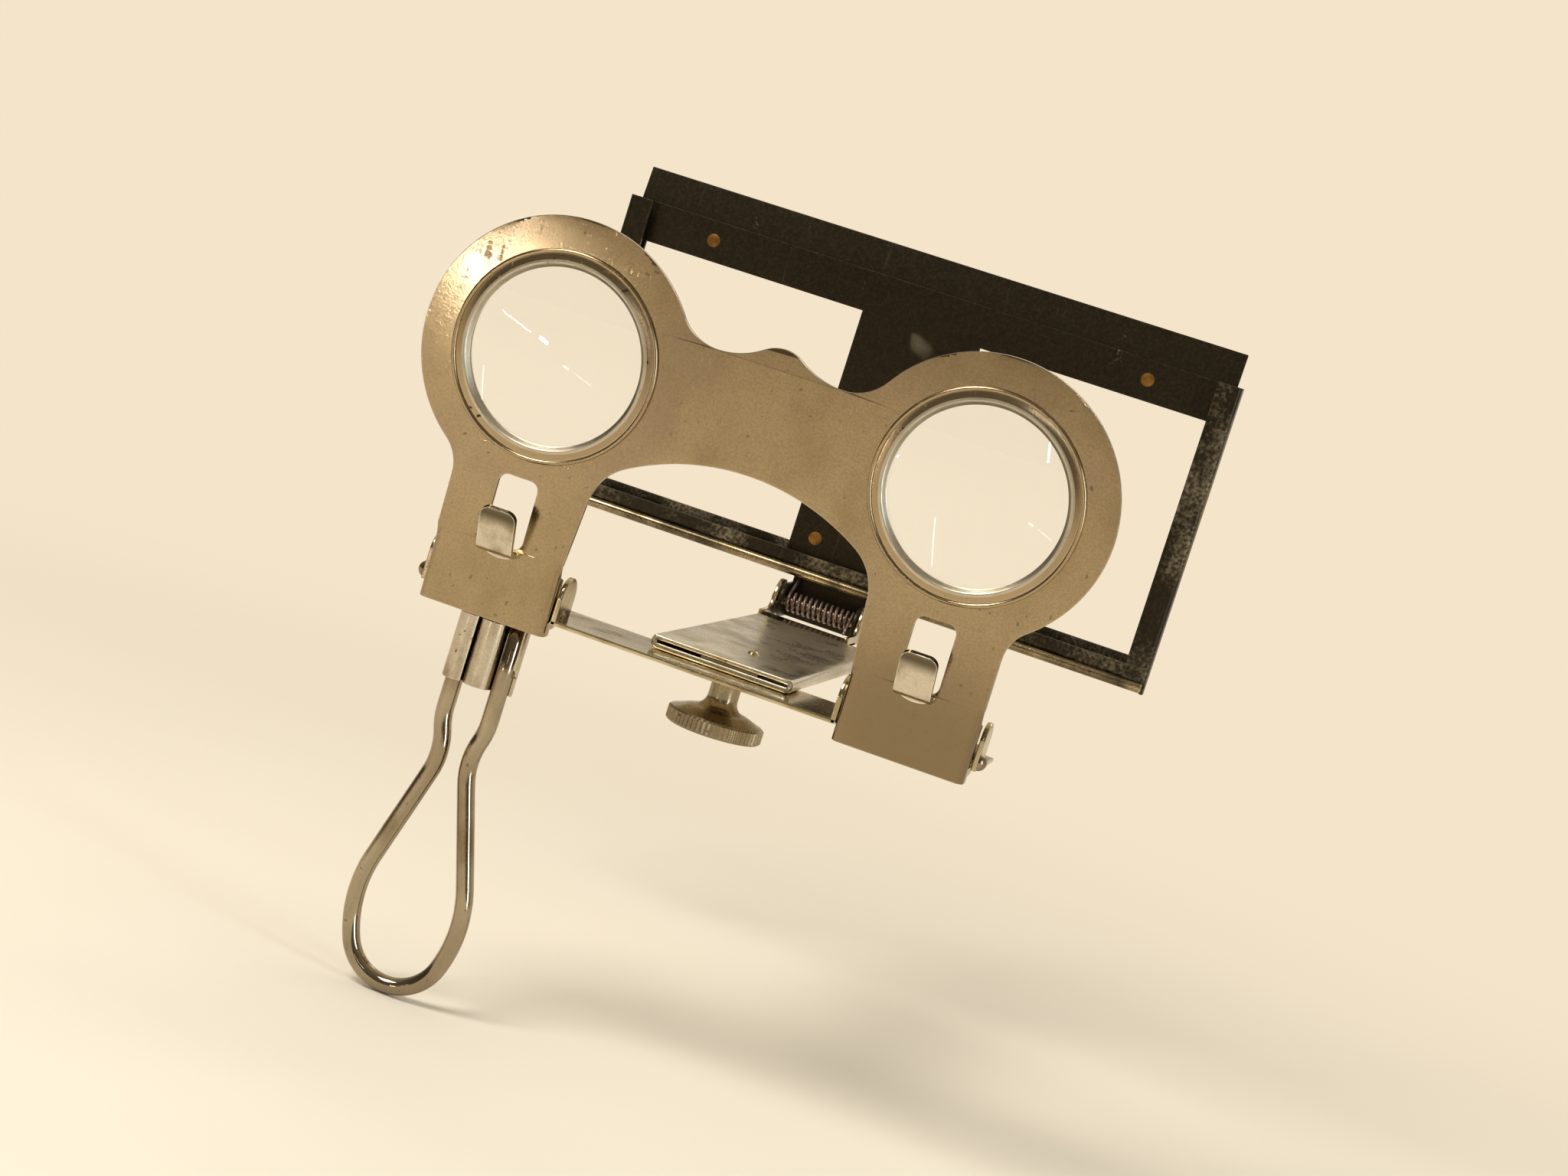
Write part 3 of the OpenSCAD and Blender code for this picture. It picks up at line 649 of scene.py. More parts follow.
class Paint(Nodes):
    """The nodes of one material, in the piece's own coordinates."""

    def __init__(self, name: str) -> None:
        """Start a material with a shader and an output.

        Args:
            name: The material's name.
        """
        self.material = bpy.data.materials.new(name)
        self.material.use_nodes = True
        super().__init__(self.material.node_tree)
        self.shader = self.tree.nodes["Principled BSDF"]
        self.place = self.node("TexCoord", {}).outputs["Object"]

    def set(self, **inputs: object) -> None:
        """Fill the shader's own inputs, with _ for a space in their names."""
        for name, value in inputs.items():
            self.fill(self.shader.inputs[name.replace("_", " ")], value)

    def noise(
        self, size: float, detail: float, stretch: Point3 = (1.0, 1.0, 1.0), twist: float = 0.0
    ) -> Socket:
        """Return a cloudy pattern.

        Args:
            size: Size of its clouds in millimetres.
            detail: How many finer layers it has.
            stretch: How much finer it is along each axis.
            twist: Turn about y in degrees, for slanting marks.

        Returns:
            The pattern, from 0 to 1.
        """
        mapping = self.node("Mapping", {
            "Vector": self.place,
            "Scale": [s / (size * MM) for s in stretch],
            "Rotation": (0.0, math.radians(twist), 0.0),
        })
        inputs = {"Vector": mapping.outputs["Vector"], "Scale": 1.0, "Detail": detail}
        return self.node("TexNoise", inputs).outputs["Fac"]

    def along(self, axis: str) -> Socket:
        """Return the place along X, Y or Z, in metres."""
        return self.node("SeparateXYZ", {"Vector": self.place}).outputs[axis]

    def edges(self, radius: float, low: float, high: float) -> Socket:
        """Return 1 on a piece's edges and 0 on its flats.

        Args:
            radius: How far an edge reaches, in millimetres.
            low: Turn of the surface at which an edge begins, from 0 to 1.
            high: Turn at which it is full.

        Returns:
            The pattern.
        """
        soft = self.node("Bevel", {"Radius": radius * MM}, samples=4)
        plain = self.node("NewGeometry", {})
        normals = {0: soft.outputs["Normal"], 1: plain.outputs["Normal"]}
        dot = self.node("VectorMath", normals, operation="DOT_PRODUCT")
        return self.ramp(dot.outputs["Value"], (1 - high, 1.0), (1 - low, 0.0))

    def bump(self, height: Socket, depth: float) -> None:
        """Let a pattern raise the surface by a depth in millimetres."""
        node = self.node("Bump", {"Distance": depth * MM, "Height": height})
        self.set(Normal=node.outputs["Normal"])


class Finish:
    """A finish that makes its material once."""

    name: str
    made: dict[str, bpy.types.Material] = {}

    def material(self) -> bpy.types.Material:
        """Return the finish's material, made on first use.

        Returns:
            The material.
        """
        if self.name not in Finish.made:
            paint = Paint(self.name)
            self.lay(paint)
            Finish.made[self.name] = paint.material
        return Finish.made[self.name]

    def lay(self, paint: Paint) -> None:
        """Build the finish's nodes."""
        raise NotImplementedError


@dataclass(frozen=True)
class Plated(Finish):
    """Nickel plate, from matt to polished, with tarnish, grain and fine scratches, and painted
    highlights and painted shade.
    """

    name: str
    clean: Colour
    tarnish: Colour
    blush: Colour
    roughness: float
    spread: float
    grain: float
    tarnished: float = 0.5
    # Painted highlight: the colour that edges are lightened to, and how much of it they get
    edge: Colour = (0.80, 0.74, 0.62)
    edge_highlight_share: float = 0.5
    specks: float = 1.0
    cloud: float = 26.0
    # Painted shade: the height and half-height in millimetres of a dark band
    painted_shade_band: Point = (0.0, 0.0)
    # Painted shade: how far the plate is darkened toward its bottom and its right
    painted_low_shade: float = 0.0
    dirt: Colour = (0.05, 0.035, 0.025)
    drift_share: float = 0.42
    grain_size: float = 0.32
    speck_size: float = 0.8
    edge_reach: float = 0.35
    scratch_rough: float = 0.12
    relief: float = 0.0035

    def lay(self, paint: Paint) -> None:
        """Mix clouds of tarnish into the plate and scratch it finely.

        Args:
            paint: The material's nodes.
        """
        drift = paint.noise(self.drift_share * self.cloud, 4.0, (1.0, 1.0, 0.6))
        fine = paint.noise(self.grain_size, 2.0)
        scratch = self.scratches(paint)
        smooth, dull = self.roughness - self.spread, self.roughness + self.spread
        rough = paint.ramp(drift, (0.3, smooth), (0.7, dull))
        paint.set(
            Base_Color=self.tone(paint, drift, fine),
            Roughness=paint.sum("ADD", rough, paint.sum("MULTIPLY", scratch, self.scratch_rough)),
            Metallic=1.0,
        )
        paint.bump(paint.sum("ADD", fine, scratch), self.relief * (0.3 + self.grain * 3))

    def tone(self, paint: Paint, drift: Socket, fine: Socket) -> Socket:
        """Return the plate's colour.

        Args:
            paint: The material's nodes.
            drift: The clouds in which the plate is tarnished.
            fine: The plate's grain.

        Returns:
            The clean metal under tarnish, blush, grain and specks, with painted shade in a band and
            toward the bottom and right, and painted highlights on the edges.
        """
        tarnish = paint.ramp(drift, (0.62 - self.tarnished * 0.4, 0.0), (0.75, 1.0))
        base = paint.mix(tarnish, self.clean, self.tarnish)
        blush = paint.ramp(paint.noise(self.cloud, 3.0), (0.48, 0.0), (0.68, 0.8))
        base = paint.mix(blush, base, self.blush)
        grain = paint.ramp(fine, (0.3, 0.0), (0.72, self.grain))
        base = paint.mix(grain, base, darker(self.tarnish, 0.55))
        specks = paint.ramp(paint.noise(self.speck_size, 0.0), (0.81, 0.0), (0.83, 1.0))
        base = paint.mix(paint.sum("MULTIPLY", specks, self.specks), base, self.dirt)
        # Painted shade: a dark band across the piece at a set height
        if self.painted_shade_band[1]:
            base = paint.mix(self.painted_shade_band_mask(paint), base, darker(self.tarnish, 0.4))
        # Painted shade: the plate darker toward its bottom and toward its right
        if self.painted_low_shade:
            low = paint.ramp(paint.along("Z"), (0.003, self.painted_low_shade), (0.024, 0.0))
            side = paint.ramp(paint.along("X"), (-0.02, 0.15), (0.035, 1.0))
            base = paint.mix(paint.sum("MULTIPLY", low, side), base, darker(self.tarnish, 0.68))
        # Painted highlight: edges lightened where a bevel would catch the light
        rim = paint.sum("MULTIPLY", paint.edges(self.edge_reach, 0.02, 0.25), self.edge_highlight_share)
        return paint.mix(rim, base, self.edge)

    def scratches(self, paint: Paint) -> Socket:
        """Return fine slanting scratches that cross each other.

        Args:
            paint: The material's nodes.

        Returns:
            1 on a scratch and 0 beside it.
        """
        marks = paint.noise(0.5, 2.0, (1.0, 1.0, 0.06), 38.0)
        other = paint.noise(0.7, 2.0, (0.05, 1.0, 1.0), 12.0)
        return paint.ramp(paint.sum("MULTIPLY", marks, other), (0.30, 0.0), (0.46, 1.0))

    def painted_shade_band_mask(self, paint: Paint) -> Socket:
        """Return a soft band of painted shade at a height, as across the middle of a hook.

        Args:
            paint: The material's nodes.

        Returns:
            1 in the middle of the band and 0 outside it.
        """
        height, half = (v * MM for v in self.painted_shade_band)
        rise = paint.ramp(paint.along("Z"), (height - half, 0.0), (height, 1.0))
        fall = paint.ramp(paint.along("Z"), (height, 1.0), (height + half * 1.6, 0.0))
        return paint.sum("MULTIPLY", rise, fall)


@dataclass(frozen=True)
class Japan(Finish):
    """Black stoving lacquer on steel, rubbed through along edges and in patches."""

    name: str
    wear: float
    bare: Colour = (0.30, 0.26, 0.19)
    brown: Colour = (0.10, 0.075, 0.045)
    deep: Colour = (0.007, 0.005, 0.003)
    pale: Colour = (0.018, 0.013, 0.006)
    scuffed: Colour = (0.045, 0.038, 0.026)
    sheen: Colour = (1.0, 0.84, 0.56)
    stretch: Point3 = (1.0, 1.0, 0.35)
    blend: float = 0.07
    patch_size: float = 5.0
    grain_size: float = 0.5
    scuff_size: float = 0.8
    edge_reach: float = 0.45
    relief: float = 0.010

    def lay(self, paint: Paint) -> None:
        """Rub the lacquer through where wear is high.

        Args:
            paint: The material's nodes.
        """
        grain = paint.noise(self.grain_size, 3.0)
        gone = self.worn(paint, grain)
        scuffs = paint.noise(self.scuff_size, 2.0, (1.0, 1.0, 0.05), 64.0)
        black = paint.mix(paint.ramp(grain, (0.35, 0.0), (0.75, 1.0)), self.deep, self.pale)
        black = paint.mix(paint.ramp(scuffs, (0.66, 0.0), (0.76, 0.5)), black, self.scuffed)
        metal = paint.mix(paint.ramp(grain, (0.35, 0.0), (0.65, 1.0)), self.brown, self.bare)
        paint.set(
            Base_Color=paint.mix(gone, black, metal),
            Metallic=paint.sum("MULTIPLY", gone, 0.85),
            Roughness=paint.ramp(paint.sum("ADD", gone, grain), (0.2, 0.30), (1.2, 0.46)),
            Specular_IOR_Level=0.28,
            Specular_Tint=self.sheen,
        )
        paint.bump(paint.sum("SUBTRACT", grain, gone), self.relief)

    def worn(self, paint: Paint, grain: Socket) -> Socket:
        """Return 1 where the lacquer is gone, in patches and along edges.

        Args:
            paint: The material's nodes.
            grain: The lacquer's grain.

        Returns:
            How far the lacquer is gone, from 0 to 1.
        """
        patch = paint.noise(self.patch_size, 5.0, self.stretch)
        rubbed = paint.sum("ADD", patch, paint.sum("MULTIPLY", grain, 0.35))
        limit = 0.98 - self.wear * 0.42
        worn = paint.ramp(rubbed, (limit - self.blend, 0.0), (limit + self.blend, 1.0))
        edge = paint.edges(self.edge_reach, 0.03, 0.4)
        edge = paint.sum("MULTIPLY", edge, 0.25 + 0.6 * self.wear)
        edge = paint.sum("MULTIPLY", edge, paint.ramp(patch, (0.36, 0.15), (0.56, 1.0)))
        return paint.sum("MAXIMUM", worn, edge)


@dataclass(frozen=True)
class Rubbed(Finish):
    """A dull metal in two tones, such as copper or rusty steel."""

    name: str
    light: Colour
    dark: Colour
    grain: float
    roughness: float
    metallic: float = 0.9
    depth: float = 0.02

    def lay(self, paint: Paint) -> None:
        """Mix the two tones in fine grains.

        Args:
            paint: The material's nodes.
        """
        speck = paint.noise(self.grain, 4.0)
        rough, smooth = self.roughness + 0.12, self.roughness - 0.08
        shine = paint.ramp(speck, (0.36, 0.0), (0.62, 1.0))
        paint.set(
            Base_Color=paint.mix(shine, self.dark, self.light),
            Roughness=paint.ramp(speck, (0.3, rough), (0.7, smooth)),
            Metallic=self.metallic,
        )
        paint.bump(speck, self.depth)


@dataclass(frozen=True)
class Glass(Finish):
    """Clear ground lens glass with a trace of dust."""

    name: str
    tint: Colour = (0.985, 0.985, 0.97)
    haze: float = 0.0
    dust_size: float = 1.1
    index: float = 1.52

    def lay(self, paint: Paint) -> None:
        """Make clear glass, or hazy glass where it is ground.

        Args:
            paint: The material's nodes.
        """
        dust = paint.noise(self.dust_size, 4.0)
        paint.set(
            Base_Color=paint.mix(dust, self.tint, darker(self.tint, 0.985)),
            Roughness=paint.ramp(dust, (0.55, self.haze), (0.8, self.haze + 0.03)),
            Transmission_Weight=1.0,
            IOR=self.index,
        )


MATT = Plated(
    "matt nickel", (0.40, 0.305, 0.178), (0.315, 0.235, 0.13), (0.34, 0.252, 0.168),
    0.115, 0.025, 0.32, tarnished=0.55, specks=0.45, cloud=22.0, painted_low_shade=0.85,
)
BEZEL = Plated(
    "bezel nickel", (0.42, 0.32, 0.19), (0.32, 0.24, 0.13), (0.36, 0.27, 0.17), 0.19, 0.03, 0.10,
)
# The mount's own nickel painted lighter and greyer on its inner funnel, a painted reflection of the
# pale paper
LIT_FUNNEL = Plated(
    "funnel nickel painted light", (0.56, 0.50, 0.39), (0.44, 0.38, 0.27), (0.51, 0.45, 0.34), 0.38, 0.06, 0.12,
    edge_highlight_share=0.0, specks=0.3, cloud=9.0,
)
BRIGHT = Plated(
    "bright nickel", (0.56, 0.47, 0.29), (0.30, 0.22, 0.10), (0.42, 0.34, 0.19), 0.17, 0.05, 0.10,
    tarnished=0.5, edge=(0.82, 0.73, 0.56), specks=0.6, cloud=14.0,
)
SATIN = Plated(
    "satin nickel", (0.66, 0.60, 0.48), (0.42, 0.34, 0.21), (0.56, 0.49, 0.36), 0.30, 0.07, 0.12,
    tarnished=0.5, edge=(0.86, 0.79, 0.64), specks=0.6, cloud=12.0,
)
PIN = Plated(
    "pin nickel", (0.42, 0.35, 0.25), (0.18, 0.12, 0.06), (0.30, 0.22, 0.14), 0.22, 0.06, 0.3,
    tarnished=0.9, edge_highlight_share=0.0, cloud=4.0,
)
# The plate's own nickel painted lighter on the hooks, with painted edge highlights and a painted
# shade band
LIT_HOOK = Plated(
    "hook nickel painted light", (0.70, 0.62, 0.49), (0.32, 0.26, 0.16), (0.60, 0.52, 0.39), 0.13, 0.04, 0.16,
    tarnished=0.4, edge=(0.98, 0.95, 0.86), edge_highlight_share=0.95, specks=0.5, cloud=9.0,
    painted_shade_band=(13.6, 2.2),
)
WIRE = Plated(
    "handle nickel", (0.40, 0.335, 0.235), (0.20, 0.145, 0.08), (0.31, 0.245, 0.165),
    0.10, 0.03, 0.12, tarnished=0.6, edge_highlight_share=0.0, specks=0.5, cloud=18.0,
)
STRAP = Plated(
    "strap nickel", (0.60, 0.53, 0.42), (0.36, 0.28, 0.18), (0.50, 0.42, 0.31), 0.20, 0.06, 0.20,
    tarnished=0.6, edge=(0.84, 0.76, 0.62), specks=0.8, cloud=10.0,
)
WORN = Plated(
    "worn nickel", (0.38, 0.31, 0.20), (0.20, 0.15, 0.08), (0.28, 0.22, 0.15), 0.27, 0.07, 0.35,
    tarnished=0.8, edge=(0.52, 0.44, 0.31), specks=1.0,
)
JAPAN = Japan("black japan", 0.06)
JAPAN_WORN = Japan(
    "worn black japan", 0.46, bare=(0.26, 0.22, 0.145), blend=0.2, stretch=(0.5, 1.0, 0.3),
)
BEAD = Plated(
    "rubbed bead", (0.46, 0.36, 0.21), (0.07, 0.055, 0.035), (0.30, 0.23, 0.13), 0.24, 0.06, 0.4,
    tarnished=0.8, edge_highlight_share=0.0, cloud=12.0,
)
COPPER = Rubbed("dull copper", (0.30, 0.15, 0.035), (0.17, 0.08, 0.018), 1.7, 0.38, depth=0.008)
SOLDER = Rubbed("old solder", (0.36, 0.28, 0.17), (0.20, 0.14, 0.08), 1.2, 0.34)
RUST = Rubbed("rusty steel", (0.34, 0.25, 0.22), (0.13, 0.075, 0.055), 0.45, 0.42, metallic=0.7)
CLEAR = Glass("lens glass")
GROUND = Glass("ground glass", tint=(0.93, 0.92, 0.88), haze=0.5)


def dress_node(frame: dict, node: str, finish: Finish) -> None:
    """Give a CAD node that stays in view its finish.

    Args:
        node: The node's name.
        finish: The finish.
    """
    mesh = frame["nodes"][node].data
    mesh.materials.clear()
    mesh.materials.append(finish.material())
    log.info("%s keeps its CAD shape in %s", node, finish.name)


# The eye frame

# The lens mount inside its bead, as (radius, depth behind the crown): a dished ring, a funnel
# with three fine steps, and the tube that the lens sits in
MOUNT_PROFILE = (
    (14.94, 0.33), (14.6, 0.27), (14.1, 0.14), (13.85, 0.07), (13.72, 0.06), (13.6, 0.10),
    (13.46, 0.24), (13.2, 0.62), (13.08, 0.76), (13.16, 0.82), (13.05, 0.90), (13.14, 0.98),
    (13.03, 1.05), (13.1, 1.14), (14.4, 1.33), (14.4, 3.97), (14.85, 3.97),
)


@dataclass
class EyeFrame:
    """The folding plate with its two lenses, in upright axes about the leg pins."""

    lean: float = 4.3
    pin_height: float = 1.4
    eye_height: float = 36.6
    lens_x: float = 32.5
    lobe_radius: float = 20.5
    sheet: float = 0.8
    rounding: float = 0.1
    front: float = -3.6
    leg_in: float = 22.6
    leg_out: float = 42.8
    leg_bottom: float = -3.3
    leg_taper: float = 0.8
    straight_top: float = -28.6
    fillet: float = 6.0
    dip: Point = (9.7, 8.45)
    bump_height: float = 3.0
    bump_radius: float = 5.2
    nose_drop: float = 7.5
    nose_radius: float = 35.0
    nose_corner: float = 8.0
    seat_radius: float = 14.85
    window: Point = (6.2, 10.5)
    window_drop: float = 18.4
    flange_top: float = 8.0
    flange_depth: float = 1.8
    flange_run: float = 2.6
    lug_radius: float = 2.4
    lug_reach: float = 2.4
    pin_hole: float = 0.65
    window_corner: float = 1.4
    bend: float = 0.8
    hook_width: float = 5.6
    hook_out: float = 1.55
    hook_bend: float = 2.2
    hook_length: float = 6.1
    hook_lean: float = 23.4
    hook_drop: float = 0.3
    hook_corner: float = 1.5
    swelling_raise: float = 0.2
    swelling_margin: float = 0.3
    swelling_drop: float = 1.7
    swelling_height: float = 0.45
    swelling_power: float = 1.3
    mount_radius: float = 15.7
    mount_rise: float = 0.6
    mount_sunk: float = 0.05
    bead: Point = (15.36, 0.34)
    lens_front: float = -2.624
    lens_curve: float = 93.6
    lens_radius: float = 14.4
    lens_edge: float = 1.5
    funnel_within: float = 14.0
    ground_beyond: float = 14.2

    def matrix(self) -> Matrix:
        """Return the placing of the upright axes in the row frame."""
        tilt = Matrix.Rotation(math.radians(self.lean), 4, "X")
        return Matrix.Translation((0, 0, self.pin_height)) @ tilt

    def fold_start(self) -> Point:
        """Return where the two side bends begin, as distances from the middle."""
        return self.leg_in + self.bend + self.sheet / 2, self.leg_out - self.bend - self.sheet / 2

    def run_out(self) -> Outline:
        """Return how far a flange reaches past its bend at depths below its top, as it folds on.

        Returns:
            Steps as (reach past the bend, depth below the flange's top).
        """
        wide = self.bend + self.sheet / 2
        steps = []
        for angle in range(0, 80, 12):
            a = math.radians(angle)
            past = self.bend * a + wide * (1 - math.sin(a)) / math.cos(a)
            steps.append((past, self.flange_run * angle / 90))
        return steps

    def half_outline(self) -> Outline:
        """Return the right half of the unfolded plate, as (x, z) about the lens line.

        Returns:
            The outline from the middle of the top round to the middle of the nose.
        """
        dip_x, dip_z = self.dip
        lobe = (self.lens_x, 0.0)
        far = (self.lens_x - dip_x) ** 2 + dip_z**2 - self.lobe_radius**2
        out_r = far / (2 * (self.lobe_radius - dip_z))
        in_r = (dip_x**2 + self.bump_height**2) / (2 * self.bump_height) - self.bump_radius
        out_c, in_c = (dip_x, dip_z + out_r), (dip_x, dip_z + in_r)
        bump_c = (0.0, dip_z + self.bump_height - self.bump_radius)
        fillet_x = self.leg_out + self.fillet
        both, aside = self.lobe_radius + self.fillet, fillet_x - self.lens_x
        fillet_c = (fillet_x, -math.sqrt(both**2 - aside**2))
        nose_c = (0.0, -self.nose_drop - self.nose_radius)
        corner_x = self.leg_in - self.leg_taper - self.nose_corner
        reach = math.sqrt((self.nose_radius - self.nose_corner) ** 2 - corner_x**2)
        corner_c = (corner_x, nose_c[1] + reach)
        pin = -self.eye_height
        top, low = pin + self.flange_top, pin + self.leg_bottom
        start_in, start_out = self.fold_start()
        turn = math.pi / 2 * self.bend
        side = turn + self.flange_depth - self.bend + self.sheet / 2
        lug = turn + self.lug_reach
        rise = math.degrees(math.asin((lug - side) / self.lug_radius))
        return (
            arc(bump_c, self.bump_radius, 90, aim(bump_c, in_c), 10)[:-1]
            + arc(in_c, in_r, aim(in_c, bump_c) + 360, 270, 14)[:-1]
            + arc(out_c, out_r, 270, 360 + aim(out_c, lobe), 14)[:-1]
            + arc(lobe, self.lobe_radius, aim(lobe, out_c), aim(lobe, fillet_c), 72)[:-1]
            + arc(fillet_c, self.fillet, aim(fillet_c, lobe), 180, 14)
            + [(start_out + reach, top - fall) for reach, fall in self.run_out()]
            + [(start_out + side, top - self.flange_run)]
            + arc((start_out + lug, pin), self.lug_radius, 90 + rise, -90 - rise, 20)
            + [(start_out + side, low), (start_in - side, low)]
            + arc((start_in - lug, pin), self.lug_radius, rise - 90, -270 - rise, 20)
            + [(start_in - side, top - self.flange_run)]
            + [(start_in - reach, top - fall) for reach, fall in reversed(self.run_out())]
            + [(self.leg_in, self.straight_top), (self.leg_in - self.leg_taper, corner_c[1])]
            + arc(corner_c, self.nose_corner, 0, aim(nose_c, corner_c), 18)[1:-1]
            + arc(nose_c, self.nose_radius, aim(nose_c, corner_c), 90, 18)
        )

    def folded(self, flat: Shape) -> Shape:
        """Fold the legs' side strips back round their bends.

        Args:
            flat: The unfolded plate, with depth 0 in the middle of its sheet.

        Returns:
            The folded plate, upright about the pins.
        """
        work = flat.work()
        turn = math.pi / 2 * self.bend
        start_in, start_out = self.fold_start()
        middle = self.front + self.sheet / 2
        top = -self.eye_height + self.flange_top
        cuts = [
            ((s * x, 0, 0), (1, 0, 0))
            for k in range(7)
            for x in (start_in - turn * k / 6, start_out + turn * k / 6)
            for s in (-1, 1)
        ]
        cuts += [((0, 0, top - self.flange_run * k / 9), (0, 0, 1)) for k in range(10)]
        for place, way in cuts:
            everything = work.verts[:] + work.edges[:] + work.faces[:]
            bmesh.ops.bisect_plane(work, geom=everything, plane_co=place, plane_no=way)
        work.verts.index_update()
        points = []
        for v in work.verts:
            x, depth, z = v.co
            s = math.copysign(1.0, x)
            inner = abs(x) < (start_in + start_out) / 2
            past, way = (start_in - abs(x), -s) if inner else (abs(x) - start_out, s)
            y = middle + depth
            if z < top and past > 0:
                edge = s * (start_in if inner else start_out)
                full = min((top - z) / self.flange_run, 1.0) * math.pi / 2
                angle = min(past / self.bend, full)
                reach, rest = self.bend - depth, max(past - self.bend * full, 0.0)
                x = edge + way * (reach * math.sin(angle) + rest * math.cos(angle))
                y = middle + self.bend - reach * math.cos(angle) + rest * math.sin(angle)
            points.append((x, y, z + self.eye_height))
        faces = [tuple(v.index for v in f.verts) for f in work.faces]
        work.free()
        return Shape(points, faces)

    def plate(self) -> Shape:
        """Return the lens plate with its windows, folded legs and lugs.

        Returns:
            The plate, upright about the pins.
        """
        half = self.half_outline()
        outline = half + [p for p in flipped(half) if p[0] < -0.001]
        holes = []
        start_in, start_out = self.fold_start()
        lug = math.pi / 2 * self.bend + self.lug_reach
        wide, high = self.window
        for s in (-1, 1):
            x = s * self.lens_x
            holes.append(circle((x, 0.0), self.seat_radius - self.rounding, 120))
            top = -self.window_drop
            corners = (x - wide / 2, top - high), (x + wide / 2, top)
            holes.append(rounded_box(*corners, self.window_corner))
            for pin_x in (s * (start_out + lug), s * (start_in - lug)):
                holes.append(circle((pin_x, -self.eye_height), self.pin_hole))
        return self.folded(flat_sheet([outline, *holes], self.sheet, self.rounding))

    def hook(self, x: float) -> Shape:
        """Return the hook in the window at x.

        Args:
            x: The sideways place of its middle.

        Returns:
            The hook, upright about the pins.
        """
        base = self.eye_height - self.window_drop - self.window[1]
        middle = self.front + self.sheet / 2
        foot = base - self.sheet / 2 - self.hook_drop
        centre = (middle - self.hook_out, foot + self.hook_bend)
        last = 180 + self.hook_lean
        line = [(middle + 0.1, foot)] + arc(centre, self.hook_bend, 270, last, 10)
        start, up = line[-1], turned(last - 90)
        half, corner = self.hook_width / 2, self.hook_corner
        widths = [half] * len(line)
        for i in range(7):
            a = math.radians(90 * i / 6)
            s = self.hook_length - corner + corner * math.sin(a)
            line.append((start[0] + up[0] * s, start[1] + up[1] * s))
            widths.append(half - corner * (1 - math.cos(a)))
        section = sheet_section(line, self.sheet)
        n = len(line)
        rings = []
        for i, w in enumerate(widths):
            near, far = section[i], section[2 * n - 1 - i]
            rings.append([(x - w, *near), (x + w, *near), (x + w, *far), (x - w, *far)])
        return loft(rings)

    def swelling(self, x: float) -> Shape:
        """Return the low swelling that the press left below a hook's foot.

        Args:
            x: The sideways place of its middle.

        Returns:
            The swelling, upright about the pins.
        """
        base = self.eye_height - self.window_drop - self.window[1]
        foot = base - self.sheet / 2 + self.swelling_raise
        half = self.hook_width / 2 + self.swelling_margin
        sunk = 0.05
        rings = []
        for share in (1.0, 0.86, 0.7, 0.52, 0.34, 0.16, 0.03):
            rise = self.swelling_height * math.cos(math.pi / 2 * share) ** self.swelling_power
            depth = self.front - rise + (sunk if share == 1.0 else 0.0)
            drop = self.swelling_drop * share
            curve = [turned(a) for a in range(180, 361, 9)]
            low = [(x + half * share * c, depth, foot + drop * s) for c, s in curve]
            rings.append(low + [(p[0], depth, foot + 0.02) for p in low[-2:0:-1]])
        return loft(rings)

    def bezel(self, x: float) -> Shape:
        """Return a lens's mount: an outer bead, a dished ring, a funnel and the tube behind.

        Args:
            x: The sideways place of its middle.

        Returns:
            The mount, upright about the pins.
        """
        joint = self.front + self.mount_sunk
        top = self.front - self.mount_rise
        bead_x, bead_r = self.bead
        profile = [(self.mount_radius, joint)] + arc((bead_x, top + bead_r), bead_r, 0, -180, 10)
        profile += [(r, top + depth) for r, depth in MOUNT_PROFILE]
        profile.append((self.seat_radius, joint))
        return lathe(profile, Axis.Y, (x, 0.0, self.eye_height), 120)

    def lens(self, x: float) -> Shape:
        """Return a lens: two round faces and a ground edge.

        Args:
            x: The sideways place of its middle.

        Returns:
            The lens, upright about the pins.
        """
        curve = self.lens_curve
        steps = [self.lens_radius * i / 20 for i in range(21)]
        sags = [curve - math.sqrt(curve * curve - r * r) for r in steps]
        front = self.lens_front - sags[-1]
        back = self.lens_front + self.lens_edge + sags[-1]
        profile = [(r, front + sag) for r, sag in zip(steps, sags)]
        profile += [(r, back - sag) for r, sag in zip(steps[::-1], sags[::-1])]
        return lathe(profile, Axis.Y, (x, 0.0, self.eye_height))

    def build(self, frame: dict) -> None:
        """Make and dress every piece of the eye frame.
        """
        place = self.matrix()
        body, slot = Body.EYE_FRAME, Slot.MATT_NICKEL
        plate = self.plate().placed(place)
        make("lens_plate_sheet", plate, MATT, body, ("lens_plate",), even=True)
        for side, x in (("left", -self.lens_x), ("right", self.lens_x)):
            hook, swelling = self.hook(x).placed(place), self.swelling(x).placed(place)
            bezel, lens = self.bezel(x).placed(place), self.lens(x).placed(place)
            make(f"{side}_hook", hook, LIT_HOOK, body, soft=0.14)
            # The swelling is the plate's own nickel in the hooks' lighter finish, a painted
            # highlight on the bulge
            make(f"{side}_hook_swelling", swelling, LIT_HOOK, body, sharp=80)
            mount = make(
                f"{side}_lens_mount", bezel, BEZEL, body, (f"{side}_bezel",), sharp=50
            )
            # Painted reflection: the funnel faces get the mount's nickel painted lighter
            self.second_finish(mount, x, LIT_FUNNEL, lambda radius: radius < self.funnel_within)
            glass = make(
                f"{side}_lens_glass", lens, CLEAR, body,
                (f"{side}_lens",), sharp=40,
            )
            self.second_finish(glass, x, GROUND, lambda radius: radius > self.ground_beyond)
            dress_node(frame, f"{side}_lens_ring", BEZEL)
        log.info("eye frame: plate, hooks, mounts and lenses are in place")

